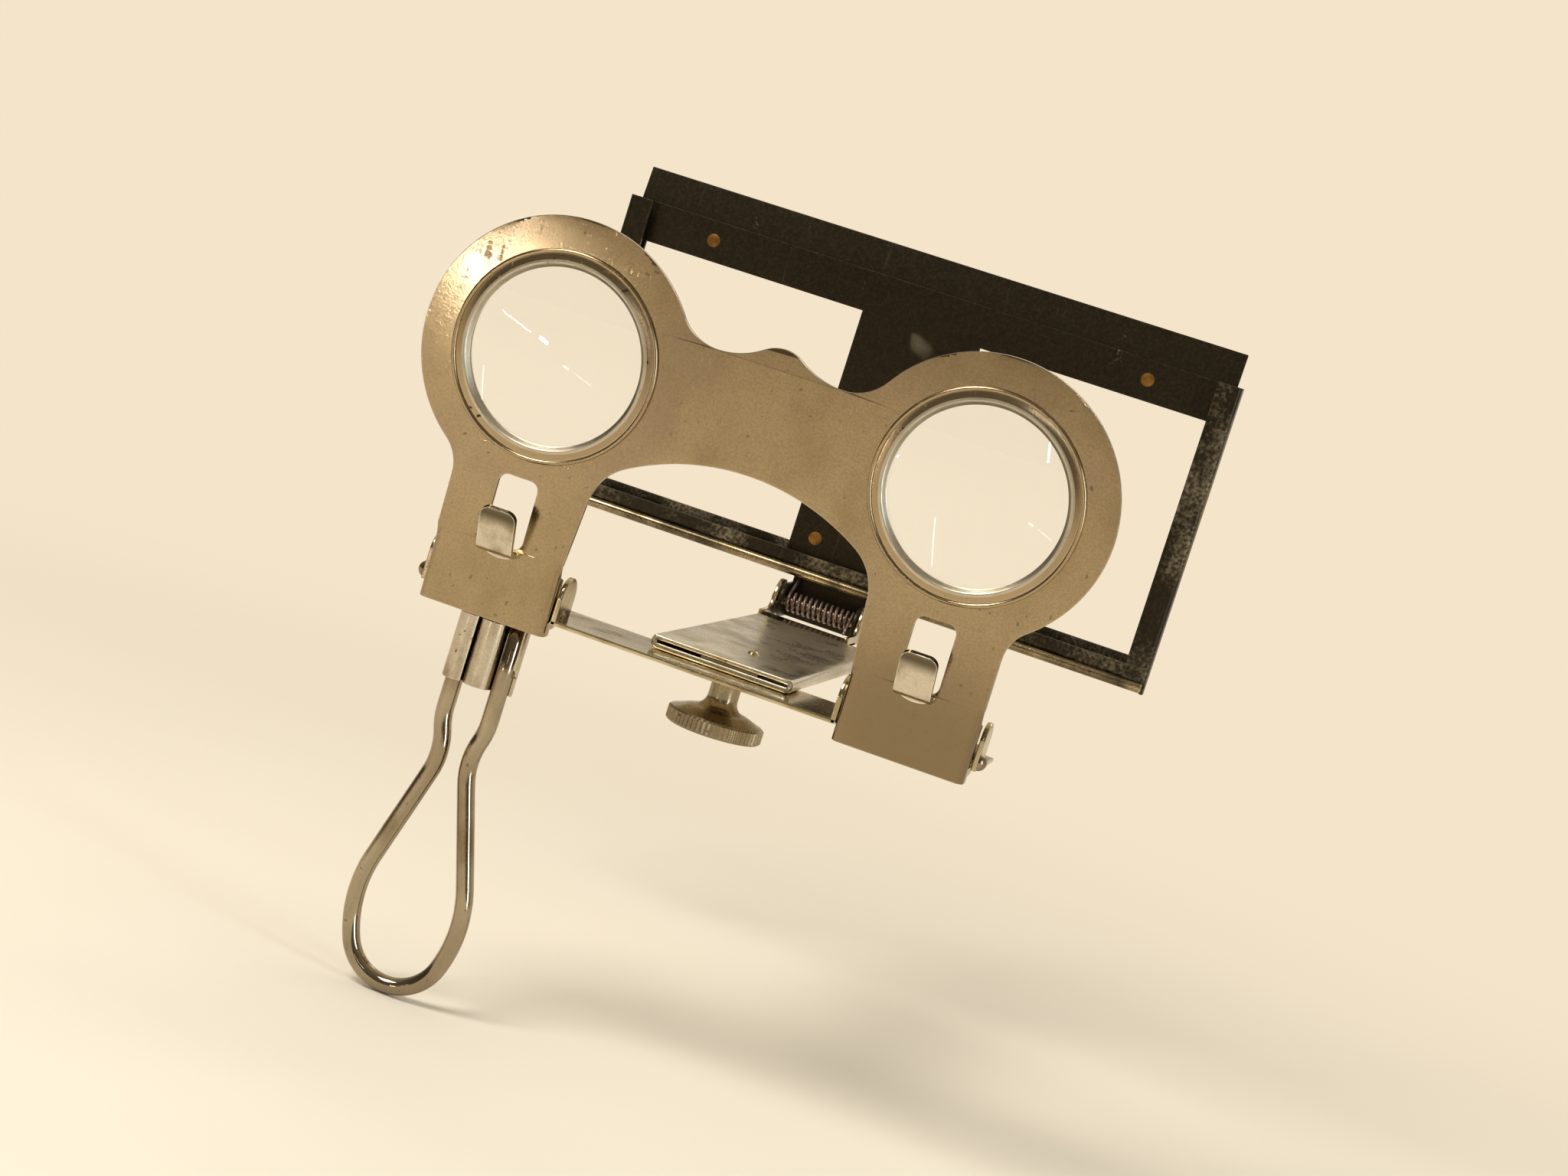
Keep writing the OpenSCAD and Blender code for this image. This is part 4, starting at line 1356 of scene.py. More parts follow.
    def second_finish(
        self, piece: bpy.types.Object, x: float, finish: Finish, within: Callable[[float], bool]
    ) -> None:
        """Give some of a turned piece's faces another finish.

        Args:
            piece: The piece.
            x: Its sideways place.
            finish: The other finish.
            within: Whether a face at a radius about the lens's middle gets it.
        """
        piece.data.materials.append(finish.material())
        back = self.matrix().inverted()
        for face in piece.data.polygons:
            p = back @ (face.center / MM)
            if within(math.hypot(p.x - x, p.z - self.eye_height)):
                face.material_index = 1


# The base


@dataclass
class Base:
    """The cross strip with its ears, and the two leg pins."""

    sheet: float = 0.7
    front: float = -2.6
    arm_front: float = 4.5
    back: float = 14.1
    inner_ear: float = 22.45
    outer_ear: float = 42.95
    ear_sheet: float = 0.8
    ear_height: float = 7.2
    ear_depth: float = 6.6
    outer_front: float = -1.3
    pin_height: float = 1.4
    pin_radius: float = 0.6
    head_radius: float = 1.3
    head_height: float = 1.1
    tail_margin: float = 0.3
    tail_height: float = 0.4
    softness: float = 0.16
    screw: Point = (3.4, 8.0)
    screw_hole: float = 1.35
    notch: tuple[float, float, float] = (-37.7, -24.3, 11.0)

    def strip(self) -> Shape:
        """Return the strip with its arms, its notch and its ears.

        Returns:
            The strip.
        """
        far = self.outer_ear + self.ear_sheet
        low_x, high_x, notch_back = self.notch
        outline = [
            (-self.inner_ear, self.front), (self.inner_ear, self.front),
            (self.inner_ear, self.arm_front), (far, self.arm_front), (far, self.back),
            (-far, self.back), (-far, self.arm_front), (low_x, self.arm_front),
            (low_x, notch_back), (high_x, notch_back), (high_x, self.arm_front),
            (-self.inner_ear, self.arm_front),
        ]
        hole = circle(self.screw, self.screw_hole, 36)
        shape = lying([outline, hole], 0.0, self.sheet, self.softness)
        for s in (-1, 1):
            inner = self.inner_ear - self.ear_sheet
            for x, front in ((inner, self.front), (self.outer_ear, self.outer_front)):
                low = x if s > 0 else -x - self.ear_sheet
                shape.add(sideways([self.ear(front)], low, self.ear_sheet, self.softness))
        return shape

    def ear(self, front: float) -> Outline:
        """Return the (y, z) outline of an ear with a round top, from its front edge.

        Args:
            front: The y of its front edge.

        Returns:
            The outline, from its foot round its top.
        """
        back = self.front + self.ear_depth
        foot, round_r = 0.05, (back - front) / 2
        top = arc((front + round_r, self.ear_height - round_r), round_r, 0, 180, 24)
        return [(front, foot), (back, foot)] + top

    def pins(self) -> Shape:
        """Return the two pins with their round heads.

        Returns:
            Both pins.
        """
        inner = self.inner_ear - self.ear_sheet
        outer = self.outer_ear + self.ear_sheet
        head = [(r, outer + h) for r, h in domed(self.head_radius, self.head_height)]
        tail_r, tail_h = self.pin_radius + self.tail_margin, self.tail_height
        tail = [(r, inner - h) for r, h in domed(tail_r, tail_h)]
        profile = [(0.0, inner - tail_h)] + tail[::-1] + [(self.pin_radius, inner)]
        profile += [(self.pin_radius, outer)] + head
        pin = lathe(profile, Axis.X, (0.0, 0.0, self.pin_height), 32)
        return Shape().add(pin, pin.mirrored())

    def build(self) -> None:
        """Make and dress the strip and the pins."""
        body, slot = Body.BASE, Slot.BRIGHT_NICKEL
        make("cross_strip", self.strip(), BRIGHT, body, ("base_strip",), even=True)
        make("round_head_pins", self.pins(), PIN, body, ("leg_pins",))
        log.info("base: strip and pins are in place")


# The carriage


# The front edge of a bracket ear, from its round down to its foot, as (y, z)
EAR_FRONT = ((79.45, 4.3), (78.9, 3.8), (78.0, 3.5), (72.6, 3.42))


@dataclass
class Carriage:
    """The sliding sleeve with its stud, hinge bracket, axle and spring."""

    middle_x: float = 2.3
    width: float = 22.6
    low: float = 0.75
    height: float = 2.3
    wall: float = 0.6
    front: float = 5.0
    back: float = 70.0
    sunk: float = 0.22
    roll_inset: float = 1.3
    stud: Point = (3.4, 19.4)
    stud_head: Point = (1.0, 0.7)
    stud_shank: float = 0.6
    stud_depth: float = 0.9
    stud_sunk: float = 0.25
    hinge_x: float = -1.1
    axle: Point = (83.0, 5.0)
    ear_inner: float = 7.3
    ear_sheet: float = 0.8
    ear_radius: float = 3.4
    ear_hole: float = 0.86
    softness: float = 0.16
    plate_low: float = 1.85
    plate_high: float = 2.45
    plate_span: Point = (70.35, 79.4)
    tail_half: float = 5.4
    tail_front: float = 36.0
    tail_lap: float = 0.15
    tail_inset: float = 0.02
    plate_rounding: float = 0.1
    spring_arm: float = 4.9
    spring_drop: float = 4.3
    spring_radius: float = 1.55
    spring_wire: float = 0.25
    curls: int = 12
    curl_pitch: float = 0.96

    def loop(self, rise: float, inset: float, sunk: float) -> Outline:
        """Return a flat round-ended loop about the sleeve's middle, as (x, z).

        Args:
            rise: Half of the loop's height.
            inset: How far it lies inside the sleeve's outer side.
            sunk: How far its flat top lies below its rolled sides.

        Returns:
            The closed loop.
        """
        half = self.width / 2 - inset - rise
        z = self.low + self.height / 2
        right = arc((self.middle_x + half, z), rise, -90, 60, 14)
        left = arc((self.middle_x - half, z), rise, 120, 270, 14)
        reach = half - self.roll_inset
        flat = [(self.middle_x + x, z + rise - sunk) for x in (reach, 0.0, -reach)]
        return right + flat + left

    def sleeve(self) -> Shape:
        """Return the sleeve: rolled sides, a sunk top and turned-in lips at the front slit.

        Returns:
            The sleeve, closed on itself through its inside.
        """
        half = self.height / 2
        outer = [
            (self.front, 0.10), (self.front + 0.12, 0.03), (self.front + 0.35, 0.0),
            (self.back - 0.1, 0.0), (self.back, 0.06),
        ]
        inner = [
            (self.back, half - self.wall), (self.front + 1.6, half - self.wall),
            (self.front + 0.9, 0.30), (self.front + 0.12, 0.24), (self.front, 0.32),
        ]
        rings = []
        for y, cut in outer:
            rings.append([(x, y, z) for x, z in self.loop(half - cut, cut, self.sunk)])
        for y, rise in inner:
            rings.append([(x, y, z) for x, z in self.loop(rise, half - rise, 0.0)])
        return loft(rings, looped=True)

    def stud_shape(self) -> Shape:
        """Return the stop stud: a round head on a short shank.

        Returns:
            The stud.
        """
        radius, low = self.stud_shank, -self.stud_depth
        profile = [(r, h - self.stud_sunk) for r, h in domed(*self.stud_head)]
        profile += [(0.0, low), (radius, low), (radius, -self.stud_sunk)]
        return lathe(profile, Axis.Z, (*self.stud, self.low + self.height), 32)

    def bracket(self) -> Shape:
        """Return the hinge bracket: a plate, its tail in the sleeve and two round ears.

        Returns:
            The bracket.
        """
        x, out = self.hinge_x, self.ear_inner + self.ear_sheet
        y, z = self.axle
        low, high = self.plate_low, self.plate_high
        near, far = self.plate_span
        outline = oblong((x - out, near), (x + out, far))
        shape = lying([outline], low, high - low, self.plate_rounding)
        half, lap, inset = self.tail_half, self.tail_lap, self.tail_inset
        tail = (x - half, self.tail_front, low + inset), (x + half, near + lap, high - inset)
        shape.add(block(*tail))
        start = math.degrees(math.asin((low - z) / self.ear_radius))
        ear = [(EAR_FRONT[-1][0], low)] + arc((y, z), self.ear_radius, start, 178, 26)
        ear += EAR_FRONT
        hole = circle((y, z), self.ear_hole)
        for low_x in (x - out, x + self.ear_inner):
            shape.add(sideways([ear, hole], low_x, self.ear_sheet, self.softness))
        return shape

    def straight(self, end: Point3, slope: Point, reach: float) -> list[Point3]:
        """Return points along an arm of the spring that leaves an end at a (y, z) slope."""
        steps = [reach * share for share in (0.25, 0.6, 1.0)]
        return [(end[0], end[1] + slope[0] * d, end[2] + slope[1] * d) for d in steps]

    def spring(self) -> Shape:
        """Return the torsion spring with its two arms.

        Returns:
            The spring's wire.
        """
        y, z = self.axle
        length = self.curl_pitch * self.curls
        count = 24 * self.curls
        curl = arc((0.0, 0.0), self.spring_radius, 120.0, 135.0 + 360 * self.curls, count)
        first_x = self.hinge_x - length / 2
        path = [(first_x + length * i / count, y + c, z + s) for i, (c, s) in enumerate(curl)]
        arm = self.straight(path[0], (0.866, 0.5), self.spring_arm)
        tail = self.straight(path[-1], (-0.707, -0.707), self.spring_drop)
        return tube(arm[::-1] + path + tail, self.spring_wire, 8)

    def build(self, frame: dict) -> None:
        """Make and dress every piece of the carriage.
        """
        body, slot = Body.CARRIAGE, Slot.BRIGHT_NICKEL
        make("sliding_sleeve", self.sleeve(), SATIN, body, ("carriage",), sharp=60)
        make("stop_stud_head", self.stud_shape(), BRIGHT, body, ("stop_stud",))
        make("bracket_plate", self.bracket(), BRIGHT, body, ("hinge_bracket",), even=True)
        spring = self.spring()
        make("torsion_spring", spring, RUST, body, ("hinge_spring",), sharp=70)
        dress_node(frame, "hinge_axle", WORN)
        log.info("carriage: sleeve, stud, bracket and spring are in place")


# The thumb screw


@dataclass
class ThumbScrew:
    """The knurled screw under the strip, and its clamp plate."""

    place: Point = (3.4, 8.0)
    rim_radius: float = 7.35
    rim_height: float = 2.3
    knurls: int = 60
    knurl_depth: float = 0.16
    bevel: Point = (0.35, 0.28)
    drop: float = 8.5
    dish_margin: float = 0.4
    dish: tuple[Point, Point] = ((5.8, 0.42), (5.0, 0.75))
    waist: float = 2.3
    hollow: float = 2.0
    hollow_rise: float = 1.0
    flare_low: float = -1.35
    shoulder: float = 3.3
    shoulder_drop: float = 0.06
    shank: Point = (1.3, 2.0)

    def rim(self) -> Shape:
        """Return the knurled rim with bevelled edges.

        Returns:
            The rim.
        """
        rings = []
        low, high = -self.drop, -self.drop + self.rim_height
        cut, rise = self.bevel
        for z, inset in ((low, cut), (low + rise, 0.0), (high - rise, 0.0), (high, cut)):
            ring = []
            for i in range(4 * self.knurls):
                groove = self.knurl_depth if i % 4 in (1, 2) and inset == 0 else 0.0
                angle = 90 * (i + (0.3 if i % 2 else 0.0)) / self.knurls
                ring.append((*turned(angle, self.rim_radius - inset - groove, self.place), z))
            rings.append(ring)
        return loft(rings)

    def stem(self) -> Shape:
        """Return the dished top, the waist and the shank.

        Returns:
            The stem, which starts inside the rim.
        """
        neck = -self.drop + self.rim_height
        edge = self.rim_radius - self.dish_margin
        centre = (self.waist + self.hollow, neck + self.hollow_rise + self.hollow)
        profile = [(0.0, neck - 0.1), (edge, neck - 0.1), (edge - 0.05, neck + 0.02)]
        profile += [(r, neck + rise) for r, rise in self.dish]
        profile += arc(centre, self.hollow, 268, 180, 12)
        profile += arc((self.shoulder, self.flare_low), self.shoulder - self.waist, 180, 92, 8)
        low, (shank, top) = -self.shoulder_drop, self.shank
        profile += [(self.shoulder, low), (shank, low), (shank, top), (0.0, top)]
        return lathe(profile, Axis.Z, (*self.place, 0.0), 64)

    def build(self, frame: dict) -> None:
        """Make and dress the screw, and dress its clamp plate.
        """
        shape = self.rim().add(self.stem())
        make("knurled_screw", shape, WORN, Body.SCREW, ("thumb_screw",), sharp=28)
        dress_node(frame, "clamp_plate", WORN)
        log.info("thumb screw is in place")


# The picture frame


@dataclass
class PictureFrame:
    """The black card frame: plate, guide lip, channels, tongue and rivets."""

    sheet: float = 0.6
    gap: float = 0.05
    bend: float = 0.5
    back_bend: float = 0.48
    leg_bend: float = 0.4
    guide_bend: float = 1.5
    guide_margin: float = 0.6
    plate_margin: float = 0.2
    tongue_gap: float = 0.4
    corner_lap: float = 0.2
    bead_out: float = 0.3
    plate_front: float = 86.4
    wall_x: float = 54.6
    lip_x: float = 51.05
    channel_front: float = 83.75
    rail: Point = (55.9, 62.9)
    stem_half: float = 10.7
    floor: float = 11.5
    tail: float = 9.1
    guide_low: float = 57.0
    guide_top: float = 68.45
    guide_back: float = 0.787
    lip_top: float = 13.4
    leg_top: float = 14.6
    bead: tuple[float, float, float] = (83.75, 10.2, 0.9)
    hinge_x: float = -1.1
    axle: Point = (83.0, 5.0)
    lug_radius: float = 3.0
    lug_hole: float = 0.9
    thin_rounding: float = 0.08
    tongue_half: float = 7.0
    tongue_top: float = 22.6
    rivet_radius: float = 1.15
    rivet_rise: float = 0.16
    rivet_tail: Point = (0.25, 0.4)
    rail_rivet: Point = (39.4, 59.5)
    stem_rivet_z: float = 16.3
    stem_rivet_half: float = 5.4

    def plate(self) -> Shape:
        """Return the T-shaped plate behind the card.

        Returns:
            The plate.
        """
        half, stem = self.wall_x - self.plate_margin, self.stem_half
        low, high = self.rail
        outline = [
            (-half, high), (-half, low), (-stem, low), (-stem, self.floor), (stem, self.floor),
            (stem, low), (half, low), (half, high),
        ]
        return standing([outline], self.plate_front, self.sheet, self.thin_rounding)

    def guide(self) -> Shape:
        """Return the guide lip, bent back above the rail.

        Returns:
            The lip.
        """
        y = self.plate_front + self.sheet * 1.5
        top = (y + self.guide_back, self.guide_top)
        line = bent([(y, self.guide_low), (y, self.rail[1]), top], self.guide_bend, 4)
        half = self.wall_x - self.guide_margin
        return along_x(sheet_section(line, self.sheet), -half, half)

    def side_channel(self) -> Shape:
        """Return the right side channel: front lip, side wall and shorter rear lip.

        Returns:
            The channel.
        """
        t = self.sheet
        front, rear = self.channel_front + t / 2, self.plate_front + t * 1.5
        side = self.wall_x + t / 2
        join = (side, rear - self.bend)
        wall = bent([(self.lip_x, front), (side, front), join], self.bend)
        lip_low = self.bead[1] + self.bead[2] + self.gap
        shape = along_z(sheet_section(wall, t), lip_low, self.rail[1])
        foot = [(side, front + t), join]
        shape.add(along_z(sheet_section(foot, t), self.tail, lip_low))
        back = bent([join, (side, rear), (self.lip_x, rear)], self.back_bend)
        return shape.add(along_z(sheet_section(back, t), self.tail, self.guide_low - self.gap))

    def bottom_channel(self) -> Shape:
        """Return the folded bottom channel, with a gap in its rear leg for the hinge.

        Returns:
            The channel, with a floor that reaches the side channels.
        """
        t = self.sheet
        front, rear = self.channel_front + t / 2, self.plate_front + t * 1.5
        low = self.floor - t / 2
        half = self.lip_x - self.gap
        clear = self.tongue_half + self.tongue_gap
        lip = bent([(front, self.lip_top), (front, low), (rear - t, low)], self.bend)
        shape = along_x(sheet_section(lip, t), -half, half)
        leg = bent([(rear - t, low), (rear, low), (rear, self.leg_top)], self.leg_bend)
        leg = sheet_section(leg, t)
        shape.add(along_x(leg, -half, self.hinge_x - clear))
        shape.add(along_x(leg, self.hinge_x + clear, half))
        for s in (-1, 1):
            a, b = sorted((s * (half - self.corner_lap), s * self.wall_x))
            shape.add(block((a, front + t / 2, self.floor - t), (b, rear - t / 2, self.floor)))
        return shape

    def bead_roll(self) -> Shape:
        """Return the rolled bead under the bottom channel's front.

        Returns:
            The bead.
        """
        y, z, r = self.bead
        half = self.wall_x + self.bead_out
        inner = [-half + 2 * half * i / 40 for i in range(1, 40)]
        ends = self.bead_out - half, half - self.bead_out
        return tube([(x, y, z) for x in (ends[0], *inner, ends[1])], r, 24)

    def tongue(self) -> Shape:
        """Return the hinge tongue with its two lugs on the axle.

        Returns:
            The tongue.
        """
        x, t = self.hinge_x, self.sheet
        y, z = self.axle
        rear = self.plate_front + t
        half, r = self.tongue_half, self.lug_radius
        outline = oblong((x - half, z - r), (x + half, self.tongue_top))
        shape = standing([outline], rear, t, self.thin_rounding)
        lug = arc((y, z), r, 90, 270, 20) + [(rear + 0.1, z - r), (rear + 0.1, z + r)]
        hole = circle((y, z), self.lug_hole)
        for low_x in (x - half, x + half - t):
            shape.add(sideways([lug, hole], low_x, t, self.thin_rounding))
        return shape

    def rivets(self) -> Shape:
        """Return the four rivets, each with a low head in front and a tail behind.

        Returns:
            All four rivets.
        """
        front, back = self.plate_front, self.plate_front + 2 * self.sheet
        r, (margin, rise) = self.rivet_radius, self.rivet_tail
        head = [(a, front - h) for a, h in domed(r, self.rivet_rise, 5)]
        tail = [(a, back + h) for a, h in domed(r + margin, rise, 5)]
        profile = head[::-1] + [(r, back - 0.1)] + tail
        places = [(s * self.rail_rivet[0], self.rail_rivet[1]) for s in (-1, 1)]
        places += [(self.hinge_x + s * self.stem_rivet_half, self.stem_rivet_z) for s in (-1, 1)]
        return Shape().add(*(lathe(profile, Axis.Y, (x, 0.0, z), 28) for x, z in places))

    def build(self) -> None:
        """Make and dress every piece of the picture frame."""
        body, slot = Body.PICTURE_FRAME, Slot.BLACK_JAPAN
        channel = self.side_channel()
        make("card_plate", self.plate(), JAPAN, body, ("picture_plate",), even=True)
        for name, shape, finish, node in (
            ("card_guide", self.guide(), JAPAN, "guide_lip"),
            ("left_side_channel", channel.mirrored(), JAPAN, "left_channel"),
            ("right_side_channel", channel, JAPAN_WORN, "right_channel"),
            ("card_trough", self.bottom_channel(), JAPAN_WORN, "bottom_channel"),
        ):
            make(name, shape, finish, body, (node,), soft=0.1)
        make("rolled_bead", self.bead_roll(), BEAD, body)
        make("tongue_plate", self.tongue(), JAPAN, body, ("hinge_tongue",), even=True)
        make("copper_rivets", self.rivets(), COPPER, body, ("frame_rivets",))
        log.info("picture frame: plate, guide, channels, tongue and rivets are in place")


# The handle


# The lump of solder, as (radius, height)
SOLDER_PROFILE = (
    (0.0, -0.75), (0.38, -0.62), (0.62, -0.2), (0.58, 0.2), (0.3, 0.55), (0.0, 0.62),
)


@dataclass
class Handle:
    """The bent wire handle and the strap that hangs it on the left leg pin."""

    middle_x: float = -31.0
    wire_radius: float = 1.35
    top_half: float = 3.6
    neck_half: float = 2.5
    half_width: float = 8.4
    neck_radius: float = 11.3
    flare: float = 17.0
    side_radius: float = 20.0
    bottom_radius: float = 7.6
    neck_drop: float = 23.9
    top_drop: float = 2.4
    strap_sheet: float = 0.6
    strap_height: float = 10.2
    strap_gap: float = 0.01
    barrel_width: float = 11.0
    barrel: Point = (0.65, 1.6)
    pin_height: float = 1.4
    solder_out: float = 1.35
    solder_share: float = 0.66
    solder_back: float = 0.1
    over_share: float = 0.4
    step_shares: Point = (0.31, 0.42)
    web_depth: Point = (-1.5, -0.9)
    web_drop: float = 1.5

    def half_line(self) -> Outline:
        """Return the right half of the wire's middle line, from its top to the bottom's middle.

        Returns:
            The line, as (sideways, height) about the wire's own middle.
        """
        r = self.neck_radius
        in_x, out_x = self.top_half - r, self.neck_half + r
        drop = math.sqrt((2 * r) ** 2 - (out_x - in_x) ** 2)
        top = -self.neck_drop + drop
        angle = math.degrees(math.atan2(drop, out_x - in_x))
        c, s = turned(self.flare)
        start = (out_x - r * c, -self.neck_drop - r * s)
        side_x = self.half_width - self.side_radius
        edge_x = side_x + self.side_radius * c
        slope = math.tan(math.radians(self.flare))
        edge = (edge_x, start[1] - (edge_x - start[0]) / slope)
        side_c = (side_x, edge[1] - self.side_radius * s)
        fall = math.sqrt((self.side_radius - self.bottom_radius) ** 2 - side_x**2)
        low_c = (0.0, side_c[1] - fall)
        turn = math.degrees(math.atan2(fall, -side_x))
        return (
            [(self.top_half, -self.top_drop), (self.top_half, (top - self.top_drop) / 2)]
            + arc((in_x, top), r, 0, -angle, 12)[:-1]
            + arc((out_x, -self.neck_drop), r, 180 - angle, 180 + self.flare, 18)
            + arc(side_c, self.side_radius, self.flare, -turn, 22)[:-1]
            + arc(low_c, self.bottom_radius, -turn, -90, 16)
        )

    def wire(self) -> Shape:
        """Return the bent wire.

        Returns:
            The wire.
        """
        half = self.half_line()
        line = half + [p for p in flipped(half) if p[0] < -0.001]
        return tube([(self.middle_x + x, 0.0, z) for x, z in line], self.wire_radius, 32)

    def strap(self) -> Shape:
        """Return the strap round both wires, with its web and the barrel on the leg pin.

        Returns:
            The strap.
        """
        r = self.wire_radius + self.strap_gap + self.strap_sheet / 2
        t, tall = self.strap_sheet, self.strap_height
        high, low = -self.top_drop, -self.top_drop - tall
        x = self.middle_x
        left, right = (x - self.top_half, 0.0), (x + self.top_half, 0.0)
        line = arc(left, r, 315, 0, 36) + arc((x, 0.0), self.top_half - r, 180, 360, 24)[1:]
        line += arc(right, r, 180, 12, 20)[1:]
        shape = along_z(sheet_section(line, t), low, high)
        over = sheet_section(arc(right, r, 13, -40, 8), t)
        step = sheet_section(arc(right, r, 13, -12, 5), t)
        shape.add(along_z(over, low + self.over_share * tall, high))
        shape.add(along_z(step, *(low + share * tall for share in self.step_shares)))
        (inner, outer), half = self.barrel, self.barrel_width / 2
        sides = oblong((inner, x - half), (outer, x + half))
        shape.add(lathe(sides, Axis.X, (0.0, 0.0, self.pin_height), 36))
        web = self.top_half - self.wire_radius - t
        front, back = self.web_depth
        foot = high - self.web_drop
        return shape.add(block((x - web, front, foot), (x + web, back, self.pin_height)))

    def solder(self) -> Shape:
        """Return the lump of solder at the strap's lower right edge.

        Returns:
            The lump.
        """
        x = self.middle_x + self.top_half + self.solder_out
        z = -self.top_drop - self.strap_height * self.solder_share
        return lathe(list(SOLDER_PROFILE), Axis.Z, (x, self.solder_back, z), 16)

    def build(self) -> None:
        """Make and dress the wire, the strap and its solder."""
        body, slot = Body.HANDLE, Slot.WORN_NICKEL
        make("bent_wire", self.wire(), WIRE, body, ("handle_wire",), sharp=60)
        make("wire_strap", self.strap(), STRAP, body, ("handle_strap",), soft=0.12)
        make("solder_lump", self.solder(), SOLDER, body, sharp=80)
        log.info("handle: wire and strap are in place")


# The studio


@dataclass
class Lamp:
    """A soft rectangular light."""

    name: str
    place: Point3
    target: Point3
    size: Point
    power: float
    colour: Colour = (1.0, 0.95, 0.86)
    roll: float = 0.0

    def light(self) -> None:
        """Hang the lamp and aim it."""
        data = bpy.data.lights.new(self.name, "AREA")
        data.shape, data.size, data.size_y = "RECTANGLE", self.size[0] * MM, self.size[1] * MM
        data.energy, data.color = self.power, self.colour
        lamp = show(self.name, data)
        lamp.location = Vector(self.place) * MM
        way = Vector(self.target) - Vector(self.place)
        roll = Quaternion((0, 0, 1), math.radians(self.roll))
        lamp.rotation_mode = "QUATERNION"
        lamp.rotation_quaternion = way.to_track_quat("-Z", "Y") @ roll
        lamp.visible_camera = False


LAMPS = (
    Lamp("key", (-250, -300, 480), (10, 60, 0), (240, 240), 2.5),
    Lamp(
        "glint", (-171, -380, -25), (-45.7, -7.1, 47.5), (16, 4.5), 0.018, (1.0, 0.97, 0.92), -19
    ),
    Lamp("left strip", (-218, -365, -11), (-32, 0, 36), (56, 1.4), 0.008, (1.0, 0.98, 0.95), -19),
    Lamp("front strip", (45, -700, 122), (0, 0, 36), (5, 200), 0.09, (1.0, 0.98, 0.95), 12),
    Lamp("window", (640, -340, 140), (0, 10, 10), (150, 420), 1.9, (0.82, 0.91, 1.0)),
    Lamp("rear", (260, 620, 620), (0, 40, 20), (420, 300), 1.1),
)

# The surroundings' colour from in front of the object (0) to behind it (1)
SURROUNDINGS = (
    (0.0, (0.17, 0.145, 0.11)), (0.30, (0.26, 0.225, 0.17)), (0.55, (0.55, 0.485, 0.375)),
    (0.75, (0.78, 0.69, 0.54)), (1.0, (0.90, 0.81, 0.66)),
)


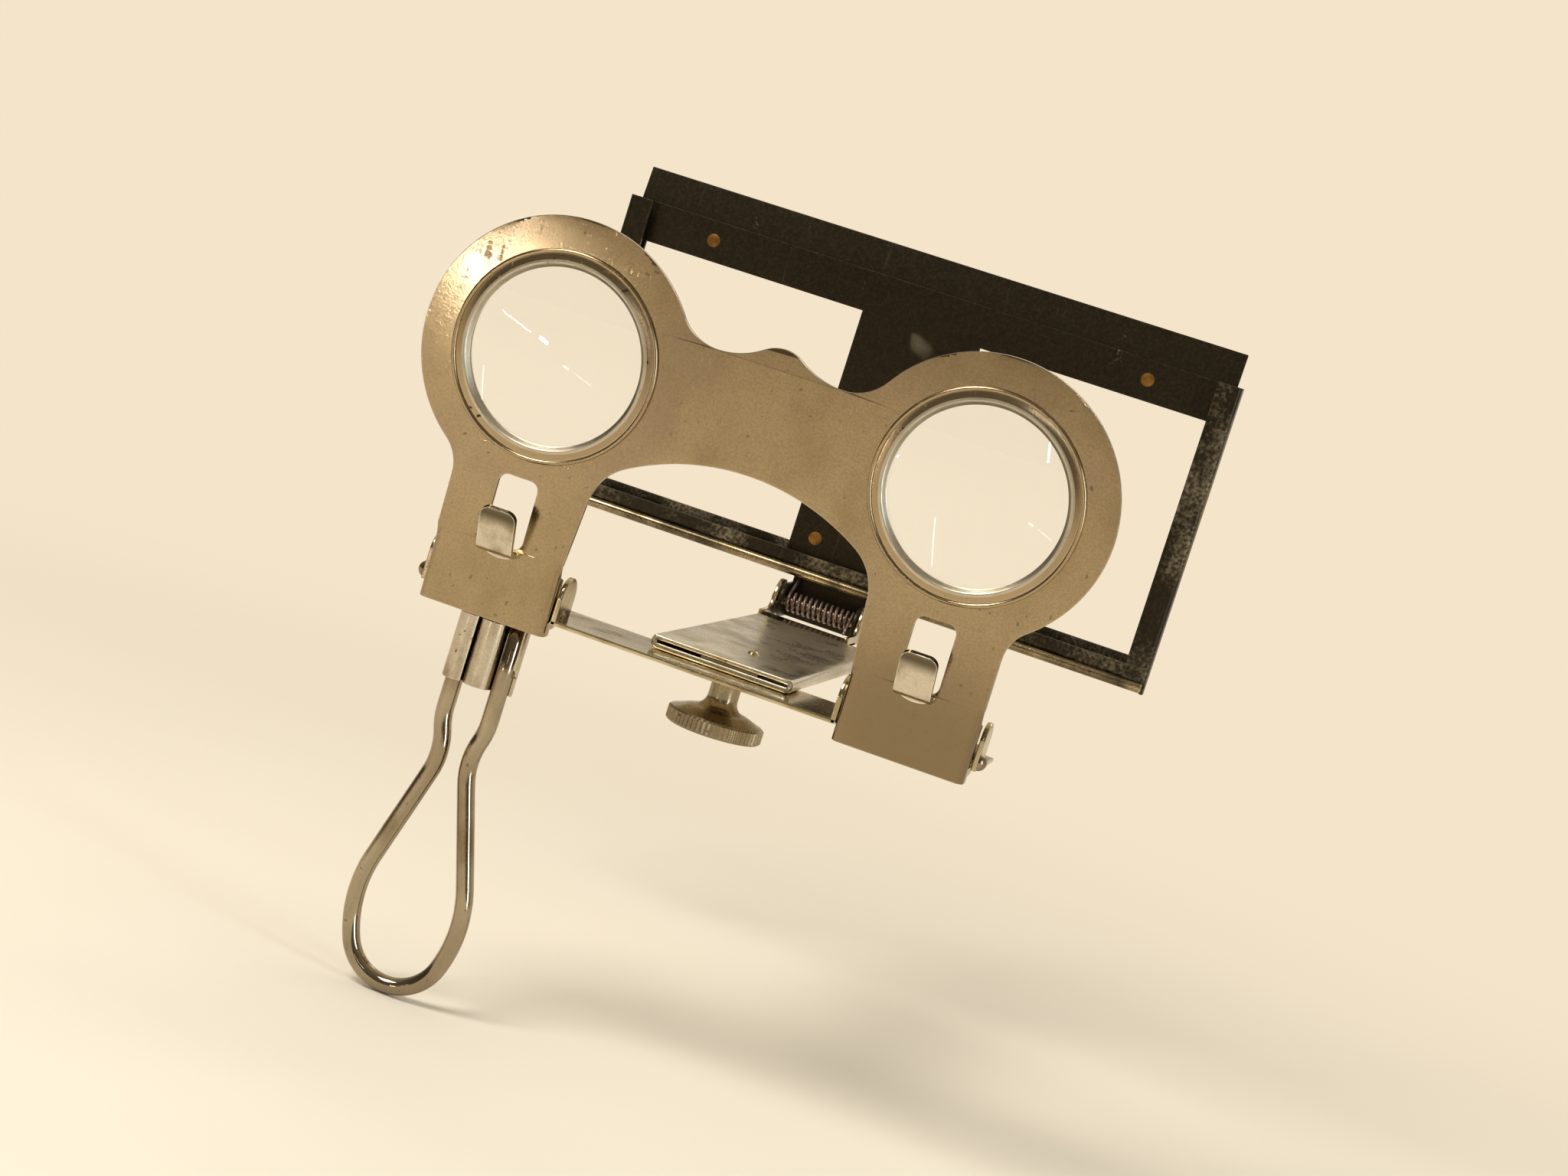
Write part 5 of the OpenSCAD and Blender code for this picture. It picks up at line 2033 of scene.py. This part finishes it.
@dataclass
class Studio:
    """Camera, lights, backdrop and floor."""

    lens_mm: float = 73.83
    sensor_mm: float = 36.0
    eye: Point3 = (102.509, -452.811, 66.141)
    right: Point3 = (0.926508, 0.225061, 0.301545)
    down: Point3 = (0.317827, -0.039115, -0.947341)
    ahead: Point3 = (-0.201415, 0.973559, -0.107771)
    paper: Colour = (0.905, 0.780, 0.590)
    sheet: Colour = (0.945, 0.890, 0.790)
    floor_z: float = -61.3
    floor_reach: float = 2.4

    def camera(self) -> None:
        """Place the camera as it stood for the photograph."""
        data = bpy.data.cameras.new("camera")
        data.sensor_fit, data.sensor_width, data.lens = "HORIZONTAL", self.sensor_mm, self.lens_mm
        data.clip_start, data.clip_end = 0.01, 20.0
        camera = show("camera", data)
        axes = Matrix((self.right, [-d for d in self.down], [-a for a in self.ahead])).transposed()
        camera.matrix_world = Matrix.Translation(Vector(self.eye) * MM) @ axes.to_4x4()
        bpy.context.scene.camera = camera

    def world(self) -> None:
        """Make the surroundings: pale behind the object, dimmer in front and on the left."""
        world = bpy.data.worlds.new("studio")
        bpy.context.scene.world = world
        world.use_nodes = True
        nodes = Nodes(world.node_tree)
        nodes.tree.nodes.clear()
        place = nodes.node("TexCoord", {}).outputs["Generated"]
        split = nodes.node("SeparateXYZ", {"Vector": place})
        depth = nodes.node("MapRange", {"Value": split.outputs["Y"], "From Min": -1.0})
        ramp = nodes.node("ValToRGB", {"Fac": depth.outputs["Result"]})
        stops = ramp.color_ramp.elements
        stops.remove(stops[1])
        for i, (at, colour) in enumerate(SURROUNDINGS):
            stop = stops[0] if i == 0 else stops.new(at)
            stop.position, stop.color = at, (*colour, 1.0)
        left = {"From Min": -0.95, "From Max": -0.45, "To Min": 0.3, "To Max": 1.0}
        strength = nodes.node("MapRange", {"Value": split.outputs["X"], **left})
        room = nodes.node("Background", {
            "Color": ramp.outputs["Color"], "Strength": strength.outputs["Result"],
        })
        plain = nodes.node("Background", {"Color": self.paper})
        mix = nodes.node("MixShader", {
            "Fac": nodes.looked_at(), 1: room.outputs["Background"], 2: plain.outputs["Background"],
        })
        nodes.node("OutputWorld", {"Surface": mix.outputs["Shader"]})

    def floor(self) -> None:
        """Lay the pale floor, which fades into the backdrop far from the object."""
        mesh = bpy.data.meshes.new("paper_floor")
        level = self.floor_z * MM
        rim = [(x, y, level) for x, y in circle(radius=self.floor_reach, count=64)]
        mesh.from_pydata(rim, [], [tuple(range(len(rim)))])
        floor = show("paper_floor", mesh)
        paint = Paint("pale paper")
        tone = paint.mix(paint.noise(60.0, 4.0), self.sheet, darker(self.sheet, 0.975))
        paint.set(Base_Color=tone, Roughness=0.9, Specular_IOR_Level=0.0)
        glow = paint.node("Emission", {"Color": self.paper})
        length = paint.node("VectorMath", {0: paint.place}, operation="LENGTH")
        far = paint.ramp(length.outputs["Value"], (0.145, 0.0), (0.42, 1.0))
        near = paint.ramp(paint.along("Y"), (-0.30, 0.25), (0.0, 1.0))
        behind = paint.ramp(paint.along("Y"), (0.12, 1.0), (0.40, 0.35))
        behind = paint.sum("MULTIPLY", near, behind)
        mirrored = paint.sum("MULTIPLY", paint.ray("Glossy"), behind)
        seen = paint.sum("MAXIMUM", paint.looked_at(), mirrored)
        mix = paint.node("MixShader", {
            "Fac": paint.sum("MULTIPLY", far, seen),
            1: paint.shader.outputs["BSDF"],
            2: glow.outputs["Emission"],
        })
        paint.fill(paint.tree.nodes["Material Output"].inputs["Surface"], mix.outputs["Shader"])
        mesh.materials.append(paint.material)

    def build(self) -> None:
        """Set up the whole studio."""
        self.camera()
        self.world()
        self.floor()
        for lamp in LAMPS:
            lamp.light()
        bpy.context.scene.view_settings.view_transform = "Standard"
        log.info("studio is set up")


def main() -> None:
    """Build the looks round the frame."""
    logging.basicConfig(level=logging.INFO, format="%(message)s")
    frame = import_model()
    Studio().build()
    EyeFrame().build(frame)
    Base().build()
    Carriage().build(frame)
    ThumbScrew().build(frame)
    PictureFrame().build()
    Handle().build()


if __name__ == "__main__":
    main()
